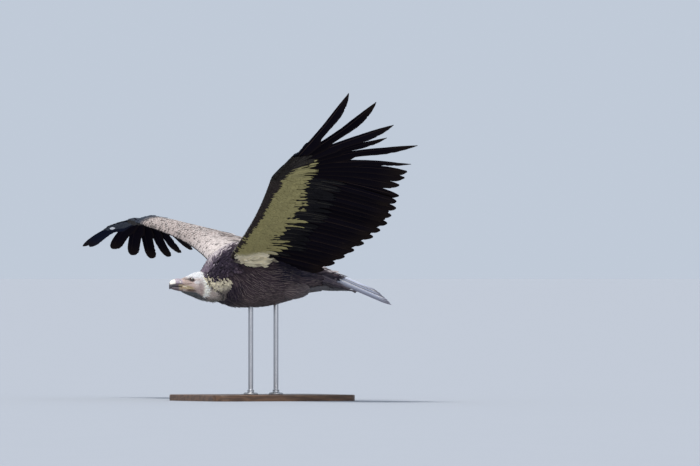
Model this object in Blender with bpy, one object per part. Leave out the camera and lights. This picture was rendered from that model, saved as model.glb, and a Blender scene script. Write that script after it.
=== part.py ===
"""Griffon vulture gliding on a display stand: one closed solid for each named part.

Metres, +Z up. The bird heads along -X, its left wing is at -Y, and the floor is z = 0.
"""

import math

import bmesh
import bpy
import numpy as np
from mathutils import Vector

# ---------------------------------------------------------------- driving dimensions
GAP = 0.0003                     # free space between neighbouring solids
TRUNK_HEIGHT = 0.42              # middle of the trunk above the floor
ROLL = math.radians(6.5)         # bank of the body, left wing high
LEVEL_X, ROLLED_X = -0.235, -0.150   # the head stays level, the neck takes up the bank

# x, top, bottom and half width of trunk and neck, measured from the trunk's middle
BODY = (
    (-0.262, 0.038, -0.050, 0.030),
    (-0.238, 0.040, -0.059, 0.040),
    (-0.215, 0.062, -0.064, 0.064),
    (-0.190, 0.097, -0.069, 0.085),
    (-0.160, 0.118, -0.074, 0.097),
    (-0.110, 0.142, -0.084, 0.106),
    (-0.050, 0.151, -0.085, 0.109),
    (0.010, 0.146, -0.082, 0.106),
    (0.070, 0.130, -0.071, 0.095),
    (0.130, 0.107, -0.052, 0.078),
    (0.190, 0.080, -0.035, 0.058),
    (0.240, 0.060, -0.022, 0.042),
    (0.280, 0.043, -0.006, 0.029),
)
NECK_CUT = (-0.207, 0.35)        # x of the cut below the neck, and its lean per metre
RUFF_CUT = (-0.176, 0.55)        # x of the cut behind the ruff, and its lean
HEAD_CUT = -0.247                # x where the head meets the neck
TRUNK_END = 0.266                # x where the rump meets the tail
SQUARE = 0.92                    # below one, rings are fuller than ellipses
BACK_TAPER = 0.30                # the back is narrower than the breast by this part

# x, top, bottom and half width of the head behind the bill
HEAD = (
    (-0.3210, 0.0150, -0.0300, 0.0150),
    (-0.3060, 0.0210, -0.0372, 0.0195),
    (-0.2880, 0.0275, -0.0440, 0.0265),
    (-0.2680, 0.0365, -0.0510, 0.0315),
    (-0.2474, 0.0400, -0.0580, 0.0330),
)
# x, top, bottom and half width of the two halves of the bill
BILL_UPPER = (
    (-0.3675, 0.0010, -0.0195, 0.0020),
    (-0.3650, 0.0055, -0.0175, 0.0050),
    (-0.3570, 0.0105, -0.0150, 0.0080),
    (-0.3450, 0.0142, -0.0125, 0.0105),
    (-0.3330, 0.0160, -0.0125, 0.0125),
    (-0.3215, 0.0150, -0.0140, 0.0145),
)
BILL_LOWER = (
    (-0.3600, -0.0170, -0.0190, 0.0035),
    (-0.3520, -0.0155, -0.0215, 0.0065),
    (-0.3380, -0.0130, -0.0245, 0.0095),
    (-0.3215, -0.0145, -0.0275, 0.0130),
)
HOOK_DROP = 0.008                # the hook hangs this far below the cutting edge
EYE_PLACE = (-0.2870, 0.0165, 0.0125)
EYE_RADIUS = 0.0078

# tail
TAIL_ROOT = (0.2665, 0.0, 0.0300)
TAIL_DROP = math.radians(20.6)
TAIL_TWIST = math.radians(29.0)
TAIL_LENGTH = 0.268
TAIL_ROOT_HALF = 0.034
TAIL_SPREAD = math.radians(3.0)
TAIL_GRADES = (0.06, 0.44)         # how much shorter the left and the right edge feathers are
RECTRICES = 14
TAIL_THICKNESS = 0.004

# wings: plan of the arm
ARM_CHORD = (0.371, 0.232, -0.130)   # chord = a + b s + c s^2, s from shoulder to wrist
ARM_SPLIT = 0.40                 # chord fraction where the coverts end
ELBOW = 0.44                     # span fraction of the elbow
WING_ROOT = 0.13                 # the arm reaches this far into the trunk
SECONDARIES = 20
HAND_LENGTH = 0.190
HAND_DEPTH = 0.052
ALULA = (0.115, 0.014)           # length and width of the thumb feathers
PRIMARY_SAG = 0.035              # each primary curves back by this part of its length
EMARGINATION = 0.50              # fraction of the length where outer primaries narrow
OUTER_VANES = (0.018, 0.052)     # widths of the leading and trailing vane before that
SLOT_VANES = (0.013, 0.030)      # and beyond it
FIRST_LEAD = 0.009               # the outermost primary's narrow leading vane
INNER_VANES = (0.024, 0.042)     # widths of the vanes of primaries 1 to 4
BLADE_MIN = 0.0012

WINGS = {
    "left": dict(
        side=-1,
        shoulder=(-0.158, -0.088, 0.108),
        arm=(-0.066, -0.445, 0.258),
        hand=(-0.011, -0.932, 0.360),
        pitch=(12.0, 14.0),
        camber=0.070,
        bow=0.0,
        lift=0.072,
        lengths=(0.419, 0.404, 0.415, 0.432, 0.436, 0.485, 0.403, 0.455, 0.508, 0.503),
        fan=(79.3, 71.0, 65.0, 60.5, 55.5, 43.5, 33.0, 25.4, 8.4, -4.1),
    ),
    "right": dict(
        side=1,
        shoulder=(-0.172, 0.090, 0.080),
        arm=(-0.045, 0.5015, 0.1345),
        hand=(0.2752, 0.9594, 0.0625),
        pitch=(1.5, 12.7),
        camber=0.076,
        bow=0.0165,
        lift=-0.147,
        lengths=(0.410, 0.405, 0.396, 0.444, 0.504, 0.529, 0.518, 0.484, 0.498, 0.492),
        fan=(58.0, 47.0, 35.5, 28.1, 22.3, 16.3, 9.7, 2.6, -2.8, -9.4),
    ),
}

# legs, folded back under the tail: joints of the left leg, mirrored for the right
HIP = (0.040, 0.064, -0.032)
HEEL = (0.162, 0.041, -0.028)
ANKLE = (0.246, 0.027, -0.020)
THIGH_RADIUS = (0.040, 0.013)
TARSUS_RADIUS = 0.0085
TOES = ((0.098, 3.0, 0.0064), (0.074, 16.0, 0.0056), (0.070, -10.0, 0.0056))
TOE_DROP, TOE_CURL = 0.004, 0.06
UNDERTAIL_LENGTH, UNDERTAIL_DEPTH, UNDERTAIL_HALF = 0.110, 0.042, 0.022

# stand
BASE_SIZE = (0.56, 0.44, 0.022)
BASE_CORNER = 0.05
ROD_RADIUS = 0.009
ROD_X = (-0.045, 0.055)
FLANGE = (0.026, 0.007)          # radius and height of the foot of each rod

FINISH = {
    "body": ((0.060, 0.042, 0.038), 0.85, 0.0),
    "down": ((0.78, 0.76, 0.70), 0.90, 0.0),
    "ruff": ((0.70, 0.62, 0.44), 0.90, 0.0),
    "neck": ((0.30, 0.27, 0.24), 0.90, 0.0),
    "horn": ((0.10, 0.10, 0.10), 0.40, 0.0),
    "eye": ((0.03, 0.02, 0.015), 0.08, 0.0),
    "covert": ((0.45, 0.39, 0.30), 0.85, 0.0),
    "flight": ((0.025, 0.022, 0.022), 0.60, 0.0),
    "tail": ((0.40, 0.39, 0.37), 0.75, 0.0),
    "skin": ((0.22, 0.21, 0.20), 0.60, 0.0),
    "stand": ((0.55, 0.56, 0.57), 0.35, 0.9),
    "base": ((0.16, 0.12, 0.09), 0.45, 0.0),
}


# ---------------------------------------------------------------- small helpers
def clear_scene():
    """Remove what the file opened with."""
    for thing in list(bpy.data.objects):
        bpy.data.objects.remove(thing, do_unlink=True)


def finish(name):
    """Return the material of that name, made on first use."""
    if name in bpy.data.materials:
        return bpy.data.materials[name]
    colour, roughness, metallic = FINISH[name]
    made = bpy.data.materials.new(name)
    made.use_nodes = True
    shader = made.node_tree.nodes["Principled BSDF"]
    shader.inputs["Base Color"].default_value = (*colour, 1.0)
    shader.inputs["Roughness"].default_value = roughness
    shader.inputs["Metallic"].default_value = metallic
    made.diffuse_color = (*colour, 1.0)
    return made


def add_object(name, bm, look):
    """Close off a bmesh as one named object with outward normals."""
    bmesh.ops.remove_doubles(bm, verts=bm.verts, dist=1e-6)
    bmesh.ops.recalc_face_normals(bm, faces=bm.faces)
    mesh = bpy.data.meshes.new(name)
    bm.to_mesh(mesh)
    bm.free()
    thing = bpy.data.objects.new(name, mesh)
    thing.data.materials.append(finish(look))
    bpy.context.scene.collection.objects.link(thing)
    return thing


def blend(stations, x):
    """Read a table of stations at x along a smooth curve through its rows."""
    rows = np.array(stations)
    i = int(np.clip(np.searchsorted(rows[:, 0], x) - 1, 0, len(rows) - 2))
    before, after = rows[max(i - 1, 0)], rows[min(i + 2, len(rows) - 1)]
    start, end = rows[i], rows[i + 1]
    span = end[0] - start[0]
    t = (x - start[0]) / span
    slope_in = (end - before)[1:] / (end - before)[0]
    slope_out = (after - start)[1:] / (after - start)[0]
    return (
        (2 * t**3 - 3 * t**2 + 1) * start[1:]
        + (t**3 - 2 * t**2 + t) * span * slope_in
        + (3 * t**2 - 2 * t**3) * end[1:]
        + (t**3 - t**2) * span * slope_out
    )


def unit(vector):
    """Return the vector at length one."""
    return np.array(vector, float) / np.linalg.norm(vector)


def world(point):
    """Move a point given from the trunk's middle to its place above the floor."""
    return Vector((float(point[0]), float(point[1]), float(point[2]) + TRUNK_HEIGHT))


def banked(x, y, z):
    """Turn a point of the body by the bank, which the neck takes up."""
    share = np.clip((x - LEVEL_X) / (ROLLED_X - LEVEL_X), 0.0, 1.0)
    angle = ROLL * share * share * (3 - 2 * share)
    return np.array((x, y * math.cos(angle) + z * math.sin(angle),
                     z * math.cos(angle) - y * math.sin(angle)))


def loft(rings):
    """Join rings of points into a closed tube with flat or pointed ends."""
    bm = bmesh.new()
    loops = [[bm.verts.new(world(p)) for p in ring] for ring in rings]
    count = len(loops[0])
    for near, far in zip(loops, loops[1:]):
        for k in range(count):
            m = (k + 1) % count
            bm.faces.new((near[k], near[m], far[m], far[k]))
    bm.faces.new(loops[0])
    bm.faces.new(list(reversed(loops[-1])))
    bmesh.ops.triangulate(bm, faces=[f for f in bm.faces if len(f.verts) > 4])
    return bm


def oval(x, top, bottom, half, sides, taper=0.0):
    """Return one ring of a body across X, its upper half drawn in by the taper."""
    middle, tall = (top + bottom) / 2, (top - bottom) / 2
    ring = []
    for k in range(sides):
        a = math.tau * (k + 0.5) / sides
        c, s = math.cos(a), math.sin(a)
        draw = 1 - taper * max(s, 0.0)
        ring.append((x, draw * half * math.copysign(abs(c) ** SQUARE, c),
                     middle + tall * math.copysign(abs(s) ** SQUARE, s)))
    return ring


def slab(top, bottom):
    """Close two equal grids of points, an upper and a lower face, into a thin solid."""
    bm = bmesh.new()
    rows, columns = len(top), len(top[0])
    faces = []
    for grid in (top, bottom):
        faces.append([[bm.verts.new(world(p)) for p in row] for row in grid])
    for i in range(rows - 1):
        for j in range(columns - 1):
            for face in faces:
                bm.faces.new((face[i][j], face[i][j + 1], face[i + 1][j + 1], face[i + 1][j]))
    rim = [(i, 0) for i in range(rows)] + [(rows - 1, j) for j in range(1, columns)]
    rim += [(i, columns - 1) for i in range(rows - 2, -1, -1)]
    rim += [(0, j) for j in range(columns - 2, 0, -1)]
    for (i, j), (k, m) in zip(rim, rim[1:] + rim[:1]):
        bm.faces.new((faces[0][i][j], faces[0][k][m], faces[1][k][m], faces[1][i][j]))
    return bm


def cut_plane(bm, point, normal):
    """Cut off what lies on the plane's normal side and close the cut."""
    parts = bm.verts[:] + bm.edges[:] + bm.faces[:]
    cut = bmesh.ops.bisect_plane(bm, geom=parts, plane_co=world(point), plane_no=Vector(normal),
                                 clear_outer=True)
    edges = [e for e in cut["geom_cut"] if isinstance(e, bmesh.types.BMEdge)]
    fill = bmesh.ops.holes_fill(bm, edges=edges, sides=0)
    bmesh.ops.triangulate(bm, faces=fill["faces"])


def swollen_copy(thing, amount):
    """Return a hidden cutter: the solid grown by amount along its normals."""
    cutter = thing.copy()
    cutter.data = thing.data.copy()
    cutter.name = "cutter_" + thing.name
    bm = bmesh.new()
    bm.from_mesh(cutter.data)
    bm.normal_update()
    moves = {v.index: v.normal.copy() * v.calc_shell_factor() * amount for v in bm.verts}
    for v in bm.verts:
        v.co += moves[v.index]
    bm.to_mesh(cutter.data)
    bm.free()
    bpy.context.scene.collection.objects.link(cutter)
    cutter.hide_render = True
    cutter.display_type = "WIRE"
    return cutter


def carve(thing, *cutters):
    """Take the cutters away from a solid."""
    for cutter in cutters:
        cut = thing.modifiers.new("clear of " + cutter.name, "BOOLEAN")
        cut.operation = "DIFFERENCE"
        cut.solver = "EXACT"
        cut.object = cutter


# ---------------------------------------------------------------- body
def body_rings(start, end, steps, sides=20):
    """Return rings of the trunk and neck between two stations."""
    rings = []
    for x in np.linspace(start, end, steps):
        top, bottom, half = blend(BODY, x)
        taper = BACK_TAPER * np.clip((x - HEAD_CUT) / 0.1, 0.0, 1.0)
        rings.append([banked(*p) for p in oval(x, top, bottom, half, sides, taper)])
    return rings


def leaning(cut, side):
    """Return a point and normal of a cut that leans back towards the breast."""
    x, lean = cut
    normal = unit((1.0, 0.0, lean))
    return np.array((x, 0, 0)) + normal * side * GAP / 2, normal * side * -1


def make_body():
    """Trunk, ruff and neck: one form parted by thin leaning cuts."""
    trunk = loft(body_rings(-0.230, TRUNK_END - GAP, 17))
    cut_plane(trunk, *leaning(RUFF_CUT, 1))
    ruff = loft(body_rings(-0.245, -0.110, 11))
    cut_plane(ruff, *leaning(RUFF_CUT, -1))
    cut_plane(ruff, *leaning(NECK_CUT, 1))
    neck = loft(body_rings(HEAD_CUT + GAP / 2, -0.150, 10))
    cut_plane(neck, *leaning(NECK_CUT, -1))
    return (add_object("trunk", trunk, "body"), add_object("ruff", ruff, "ruff"),
            add_object("neck", neck, "neck"))


def make_head():
    """Skull, the two halves of the bill and the eyes."""
    rings = []
    for x in np.linspace(HEAD[0][0], HEAD_CUT - GAP / 2, 8):
        rings.append(oval(x, *blend(HEAD, x), 16))
    head = add_object("head", loft(rings), "down")
    rings = []
    for x in np.linspace(BILL_UPPER[0][0], HEAD[0][0] - GAP, 9):
        top, bottom, half = blend(BILL_UPPER, x)
        hook = HOOK_DROP * max(0.0, 1 - (x - BILL_UPPER[0][0]) / 0.012) ** 1.5
        rings.append(oval(x, top, bottom - hook * 0.5, half, 14))
    upper = add_object("bill_upper", loft(rings), "horn")
    rings = []
    for x in np.linspace(BILL_LOWER[0][0], HEAD[0][0] - GAP, 6):
        top, bottom, half = blend(BILL_LOWER, x)
        rings.append(oval(x, top - 0.001, bottom, half, 12))
    lower = add_object("bill_lower", loft(rings), "horn")
    carve(lower, swollen_copy(upper, GAP))
    for side, name in ((-1, "left"), (1, "right")):
        bm = bmesh.new()
        bmesh.ops.create_icosphere(bm, subdivisions=2, radius=EYE_RADIUS)
        x, y, z = EYE_PLACE
        bmesh.ops.translate(bm, verts=bm.verts, vec=world((x, y * side, z)))
        eye = add_object("eye_" + name, bm, "eye")
        carve(head, swollen_copy(eye, GAP))
    return head


# ---------------------------------------------------------------- tail
def tail_frame():
    """Return the tail's long axis, its right-hand axis and its upper normal."""
    along = np.array((math.cos(TAIL_DROP), 0, -math.sin(TAIL_DROP)))
    level = np.array((math.sin(TAIL_DROP), 0, math.cos(TAIL_DROP)))
    right = np.array((0.0, 1.0, 0.0))
    side = math.cos(TAIL_TWIST) * right + math.sin(TAIL_TWIST) * level
    up = math.cos(TAIL_TWIST) * level - math.sin(TAIL_TWIST) * right
    return along, side, up


def make_tail():
    """The fan of tail feathers as one thin plate with a scalloped end."""
    along, side, up = tail_frame()
    top, bottom = [], []
    columns = RECTRICES * 2 + 1
    for r in np.linspace(0.0, 1.0, 3):
        upper, lower = [], []
        for j in range(columns):
            across = 2 * j / (columns - 1) - 1
            scallop = 0.012 * abs(math.sin(math.pi * RECTRICES * (j / (columns - 1))))
            grade = TAIL_GRADES[across > 0]
            reach = TAIL_LENGTH * (1 - grade * abs(across) ** 1.5) - 0.012 + scallop
            angle = TAIL_SPREAD * across
            flat = along * (r * reach * math.cos(angle) + 0.001)
            flat = flat + side * (r * reach * math.sin(angle) + across * TAIL_ROOT_HALF)
            arch = tail_arch(across)
            thick = TAIL_THICKNESS * (1 - 0.7 * r)
            upper.append(TAIL_ROOT + flat + up * (arch + thick / 2))
            lower.append(TAIL_ROOT + flat + up * (arch - thick / 2))
        top.append(upper)
        bottom.append(lower)
    return add_object("tail", slab(top, bottom), "tail")


def tail_arch(across):
    """Return how high the tail's middle stands over its edges, across from -1 to 1."""
    return 0.010 * (1 - across**2)


def make_undertail():
    """The soft coverts that hang below the root of the tail."""
    along, side, up = tail_frame()
    top, bottom = [], []
    for t in np.linspace(0.0, 1.0, 7):
        a = 0.002 + UNDERTAIL_LENGTH * t
        upper, lower = [], []
        for across in np.linspace(-1.0, 1.0, 9):
            reach = across * UNDERTAIL_HALF
            place = TAIL_ROOT + along * a + side * reach
            tail_across = reach / (TAIL_ROOT_HALF + a * math.tan(TAIL_SPREAD))
            place = place + up * (tail_arch(tail_across) - TAIL_THICKNESS / 2 - 3 * GAP)
            depth = UNDERTAIL_DEPTH * (1 - t) ** 0.8 * math.sqrt(1 - across**2) + 0.0015
            upper.append(place)
            lower.append(place - up * depth)
        top.append(upper)
        bottom.append(lower)
    return add_object("undertail_coverts", slab(top, bottom), "body")


# ---------------------------------------------------------------- wings
class Wing:
    """One wing: an arched arm from shoulder to wrist and a fanned hand beyond it."""

    def __init__(self, name, side, shoulder, arm, hand, pitch, camber, bow, lift, lengths, fan):
        self.name, self.side, self.camber = name, side, camber
        self.bow, self.lift = bow, lift
        self.lengths, self.fan = lengths, [math.radians(a) for a in fan]
        self.shoulder = np.array(shoulder)
        self.arm = np.array(arm)
        self.wrist = self.shoulder + self.arm
        self.pitch = pitch
        self.back, self.up = self.section_axes(1.0)
        self.out = unit(hand)
        self.aft = unit(self.back - (self.back @ self.out) * self.out)
        self.rise = unit(np.cross(self.out, self.aft)) * -self.side
        self.root_angle = math.acos(self.out @ self.back)

    def section_axes(self, s):
        """Return the chord direction and upper normal at a span fraction."""
        along = unit(self.arm)
        level = unit(np.array((1.0, 0, 0)) - along[0] * along)
        normal = np.cross(along, level) * -self.side
        angle = math.radians(self.pitch[0] + (self.pitch[1] - self.pitch[0]) * s)
        back = math.cos(angle) * level - math.sin(angle) * normal
        return back, math.sin(angle) * level + math.cos(angle) * normal

    def chord(self, s):
        """Return the distance from leading to trailing edge at a span fraction."""
        a, b, c = ARM_CHORD
        return a + b * s + c * s * s

    def arch(self, t):
        """Return the height of the arched middle surface, in chords."""
        return self.camber * math.sin(math.pi * min(t, 1.0) ** 0.7) if t > 0 else 0.0

    def arm_point(self, s, t, height):
        """Return a point of the arm: span fraction, chord fraction, height above it."""
        back, up = self.section_axes(s)
        chord = self.chord(s)
        along = min(max(s, 0.0), 1.0)
        dent = 0.012 * math.sin(math.pi * along)
        height = height + self.bow * math.sin(math.pi * along**0.75)
        lead = self.shoulder + self.arm * s + back * dent
        return lead + back * (t * chord) + up * (self.arch(t) * chord + height)

    def hand_point(self, x, y, height):
        """Return a point of the hand: along its leading edge, behind it, above it."""
        reach, angle = math.hypot(x, y), math.atan2(y, x)
        towards_arm = np.clip(angle / self.root_angle, 0.0, 1.0) ** 1.5
        chord = self.chord(1.0)
        arched = self.arch(min(reach / chord, 1.0)) * chord * (0.25 + 0.75 * towards_arm)
        bend = self.lift * (reach / 0.70) ** 2 * math.cos(angle * 0.9)
        return self.wrist + self.out * x + self.aft * y + self.rise * (arched + bend + height)

    def thickness(self, s, t):
        """Return the depth of the wing between its covert surfaces."""
        deep = 0.046 - 0.020 * s
        front = math.sqrt(max(0.0, 1 - (1 - min(t / 0.14, 1.0)) ** 2))
        rear = 1 - 0.84 * np.clip((t - 0.14) / (ARM_SPLIT - 0.14), 0.0, 1.0) ** 0.8
        return max(deep * front * rear, 0.003)

    def make_arm(self, name, start, end, steps):
        """Loft a length of the fleshy front of the arm."""
        fractions = (ARM_SPLIT, 0.30, 0.20, 0.12, 0.06, 0.02)
        rings = []
        for s in np.linspace(start, end, steps):
            ring = [self.arm_point(s, t, self.thickness(s, t) * 0.55) for t in fractions]
            ring.append(self.arm_point(s, 0.0, 0.0))
            ring += [self.arm_point(s, t, -self.thickness(s, t) * 0.45)
                     for t in reversed(fractions)]
            rings.append(ring)
        return add_object(name, loft(rings), "covert")

    def make_secondaries(self):
        """The sheet of inner flight feathers behind the arm, scalloped at its edge."""
        top, bottom = [], []
        columns = SECONDARIES * 2 + 1
        for r in (0.0, 0.45, 1.0):
            upper, lower = [], []
            for j in range(columns):
                s = (1 - 2 * GAP + WING_ROOT) * j / (columns - 1) - WING_ROOT
                scallop = 0.030 * (1 - abs(math.sin(math.pi * SECONDARIES * j / (columns - 1))))
                t = ARM_SPLIT + GAP / 0.4 + (1 - ARM_SPLIT - scallop - GAP / 0.4) * r
                half = 0.0035 * (1 - r) + 0.0006
                upper.append(self.arm_point(s, t, half))
                lower.append(self.arm_point(s, t, -half))
            top.append(upper)
            bottom.append(lower)
        return add_object("secondaries_" + self.name, slab(top, bottom), "flight")

    def hand_front(self, x):
        """Return how far behind the leading edge the hand starts, to make room for the alula."""
        return ALULA[1] * np.clip((ALULA[0] + 0.03 - x) / 0.03, 0.0, 1.0)

    def make_hand(self):
        """The flattened hand along the leading edge beyond the wrist."""
        rings = []
        for r in np.linspace(0.0, 1.0, 9):
            x = GAP + (HAND_LENGTH - GAP) * r
            front = self.hand_front(x) + GAP
            depth = HAND_DEPTH * (1 - 0.62 * r) * (1 + 0.5 * (1 - r) ** 3) - front
            thick = 0.024 * (1 - 0.50 * r)
            ring = []
            for t, h in ((1.0, 0.30), (0.6, 0.45), (0.3, 0.55), (0.1, 0.40), (0.0, 0.0),
                         (0.1, -0.36), (0.3, -0.45), (0.6, -0.42), (1.0, -0.30)):
                y = front + depth * t
                skew = x + y / math.tan(self.root_angle) * (1 - r)
                ring.append(self.hand_point(skew, y, thick * h))
            rings.append(ring)
        return add_object("hand_" + self.name, loft(rings), "covert")

    def make_alula(self):
        """The small thumb feathers along the leading edge just beyond the wrist."""
        rings = []
        for u in np.linspace(0.0, 1.0, 6):
            wide = ALULA[1] * (1 - 0.75 * u**3)
            thick = 0.007 * (1 - 0.7 * u)
            rings.append([
                self.hand_point(0.004 + (ALULA[0] - 0.004) * u, wide * (0.5 - 0.5 * math.cos(a)),
                                thick * math.sin(a))
                for a in np.linspace(0, math.tau, 8, endpoint=False)])
        return add_object("alula_" + self.name, loft(rings), "flight")

    def quill_root(self, number):
        """Return where primary 1 to 10 leaves the hand, in the hand's own plane."""
        r = (number - 1) / 9
        depth = HAND_DEPTH * (1 - 0.62 * r)
        return np.array((0.018 + (HAND_LENGTH - 0.018) * r, depth * 0.9))

    def quill(self, number):
        """Return root, direction, sideways direction and length of a primary."""
        angle = self.fan[number - 1]
        along = np.array((math.cos(angle), math.sin(angle)))
        return (self.quill_root(number), along, np.array((-along[1], along[0])),
                self.lengths[number - 1])

    def room(self, number, place, sideways, sign):
        """Return the free width beside a primary before the line it shares with the next."""
        other = number - sign
        if other > 10:
            return math.inf
        if other < 1:
            line = np.array((math.cos(self.root_angle), math.sin(self.root_angle)))
            point = np.zeros(2)
        else:
            root, along, _, _ = self.quill(number)
            root2, along2, _, _ = self.quill(other)
            line, point = unit(along + along2), (root + root2) / 2
        normal = np.array((-line[1], line[0]))
        spare = GAP / 2 if other >= 1 else 3 * GAP
        return sign * ((point - place) @ normal) / (sideways @ normal) - spare

    def vane_widths(self, number, u):
        """Return the widths of the leading and trailing vane at a fraction of the length."""
        tip = math.sqrt(max(0.0, 1 - max(0.0, (u - 0.84) / 0.16) ** 2))
        if number <= 4:
            lead, trail = INNER_VANES
        else:
            share = np.clip((u - EMARGINATION + 0.06) / 0.12, 0.0, 1.0)
            lead = OUTER_VANES[0] * (1 - share) + SLOT_VANES[0] * share
            trail = OUTER_VANES[1] * (1 - share) + SLOT_VANES[1] * share
        return (FIRST_LEAD if number == 10 else lead) * tip, trail * tip

    def make_primary(self, number):
        """One outer flight feather as a thin blade, parted from its neighbours."""
        root, along, sideways, length = self.quill(number)
        top, bottom = [], []
        for u in np.linspace(0.02, 1.0, 10):
            place = root + along * (u * length) + sideways * (PRIMARY_SAG * length * u**2.5)
            lead, trail = (
                max(min(own, self.room(number, place, sideways, sign)), BLADE_MIN)
                for own, sign in zip(self.vane_widths(number, u), (-1, 1))
            )
            core = 0.0022 * (1 - 0.6 * u) + 0.0003
            upper, lower = [], []
            for offset, half in ((-lead, 0.0004), (0.0, core), (trail, 0.0004)):
                spot = place + sideways * offset
                upper.append(self.hand_point(*spot, half))
                lower.append(self.hand_point(*spot, -half))
            top.append(upper)
            bottom.append(lower)
        name = "primary_%s_%02d" % (self.name, number)
        return add_object(name, slab(top, bottom), "flight")


def make_wing(name, sizes, trunk_cutter):
    """All the solids of one wing, cleared of the trunk."""
    wing = Wing(name, **sizes)
    part = GAP / np.linalg.norm(wing.arm) / 2
    upper = wing.make_arm("upper_arm_" + name, -WING_ROOT, ELBOW - part, 8)
    forearm = wing.make_arm("forearm_" + name, ELBOW + part, 1.0 - part, 8)
    sheet = wing.make_secondaries()
    forearm_cutter = swollen_copy(forearm, GAP)
    carve(sheet, trunk_cutter, swollen_copy(upper, GAP), forearm_cutter)
    carve(upper, trunk_cutter)
    hand = wing.make_hand()
    carve(hand, forearm_cutter)
    hand_cutter = swollen_copy(hand, GAP)
    carve(wing.make_alula(), hand_cutter, forearm_cutter)
    for number in range(1, 11):
        carve(wing.make_primary(number), hand_cutter)


# ---------------------------------------------------------------- legs
def tube(points, radii, sides=10):
    """Loft round rings along a path."""
    points = [np.array(p, float) for p in points]
    rings = []
    for i, point in enumerate(points):
        before, after = points[max(i - 1, 0)], points[min(i + 1, len(points) - 1)]
        along = unit(after - before)
        level = unit(np.cross((0, 0, 1.0), along))
        up = np.cross(along, level)
        rings.append([point + radii[i] * (math.cos(math.tau * k / sides) * level
                                          + math.sin(math.tau * k / sides) * up)
                      for k in range(sides)])
    return loft(rings)


def spindle(t):
    """Return the fullness of a thigh along its length, from hip to heel."""
    return math.sqrt(max(0.0, 1 - ((t - 0.3) / 0.7) ** 2)) if t > 0.3 else 0.55 + 1.5 * t


def make_leg(name, side):
    """Thigh, tarsus and foot of one leg, stretched back under the tail."""
    hip, heel, ankle = (np.array((x, y * side, z)) for x, y, z in (HIP, HEEL, ANKLE))
    thick, thin = THIGH_RADIUS
    steps = np.linspace(0.0, 1.0, 8)
    path = [banked(*(hip + (heel - hip) * t)) for t in steps]
    thigh = tube(path, [thin + (thick - thin) * spindle(t) for t in steps], 14)
    thigh = add_object("thigh_" + name, thigh, "body")
    path = [banked(*(heel + (ankle - heel) * t)) for t in (0.02, 0.5, 1.0)]
    tarsus = add_object("tarsus_" + name, tube(path, [TARSUS_RADIUS] * 3), "skin")
    carve(tarsus, swollen_copy(thigh, GAP))
    toes = []
    for reach, spread, radius in TOES:
        path, radii = [], []
        for t in np.linspace(0.0, 1.0, 7):
            turn = math.radians(spread * side) * (0.4 + 0.6 * t)
            x = ankle[0] + 0.001 + reach * t * math.cos(turn)
            droop = TOE_DROP * math.sin(math.pi * t * 0.8) + TOE_CURL * max(0.0, t - 0.7) ** 2
            path.append(banked(x, ankle[1] + reach * t * math.sin(turn), ankle[2] - droop))
            radii.append(radius * (1.25 if t == 0 else 1.0) * (1 - 0.85 * max(0.0, t - 0.6) / 0.4))
        toes.append(tube(path, radii, 6))
    foot = add_object("foot_" + name, toes[0], "skin")
    for k, toe in enumerate(toes[1:]):
        part = add_object("joined_toe_%s_%d" % (name, k), toe, "skin")
        part.hide_render = True
        part.display_type = "WIRE"
        join = foot.modifiers.new("toe %d" % k, "BOOLEAN")
        join.operation = "UNION"
        join.solver = "EXACT"
        join.object = part
    carve(foot, swollen_copy(tarsus, GAP))
    return thigh, tarsus, foot


# ---------------------------------------------------------------- stand
def make_stand():
    """A flat base, two short rods up to the belly and their collars."""
    length, width, height = BASE_SIZE
    bm = bmesh.new()
    outline = []
    for cx, cy, start in ((1, 1, 0), (-1, 1, 1), (-1, -1, 2), (1, -1, 3)):
        for k in range(7):
            a = math.pi / 2 * (start + k / 6)
            outline.append(((length / 2 - BASE_CORNER) * cx + BASE_CORNER * math.cos(a),
                            (width / 2 - BASE_CORNER) * cy + BASE_CORNER * math.sin(a)))
    ring = [bm.verts.new((x, y, 0)) for x, y in outline]
    bottom = bm.faces.new(ring)
    lid = bmesh.ops.extrude_face_region(bm, geom=[bottom])
    raised = [v for v in lid["geom"] if isinstance(v, bmesh.types.BMVert)]
    bmesh.ops.translate(bm, verts=raised, vec=(0, 0, height))
    base = add_object("stand_base", bm, "base")
    rods = []
    for k, x in enumerate(ROD_X):
        foot = height + GAP - TRUNK_HEIGHT
        profile = ((FLANGE[0], foot), (FLANGE[0], foot + FLANGE[1] * 0.6),
                   (FLANGE[0] * 0.85, foot + FLANGE[1]), (ROD_RADIUS * 1.25, foot + FLANGE[1]),
                   (ROD_RADIUS, foot + FLANGE[1] * 1.6), (ROD_RADIUS, -0.04))
        rings = [[(x + r * math.cos(math.tau * m / 16), r * math.sin(math.tau * m / 16), z)
                  for m in range(16)] for r, z in profile]
        rods.append(add_object("stand_rod_%d" % (k + 1), loft(rings), "stand"))
    return base, rods


def main():
    """Build every sub-part."""
    clear_scene()
    trunk, _, _ = make_body()
    make_head()
    tail = make_tail()
    undertail = make_undertail()
    trunk_cutter = swollen_copy(trunk, GAP)
    carve(undertail, trunk_cutter)
    carve(tail, trunk_cutter)
    for name, side in (("left", -1), ("right", 1)):
        thigh, tarsus, foot = make_leg(name, side)
        carve(trunk, swollen_copy(thigh, GAP), swollen_copy(tarsus, GAP))
        carve(undertail, swollen_copy(foot, GAP))
    for name, sizes in WINGS.items():
        make_wing(name, sizes, trunk_cutter)
    _, rods = make_stand()
    for rod in rods:
        carve(rod, trunk_cutter)


main()
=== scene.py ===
"""Griffon vulture in flight on a display stand: skin, plumage, bill, eyes, legs, stand and studio.

Every measure is in metres and every colour is linear. The bird is laid out from the middle of its
trunk, which stands TRUNK_HEIGHT above the floor: the head points along -X, its left is -Y.
"""

import logging
import math
from collections import defaultdict
from dataclasses import dataclass, field
from enum import Enum
from functools import cache
from typing import Callable, Optional, Sequence, Union

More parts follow.
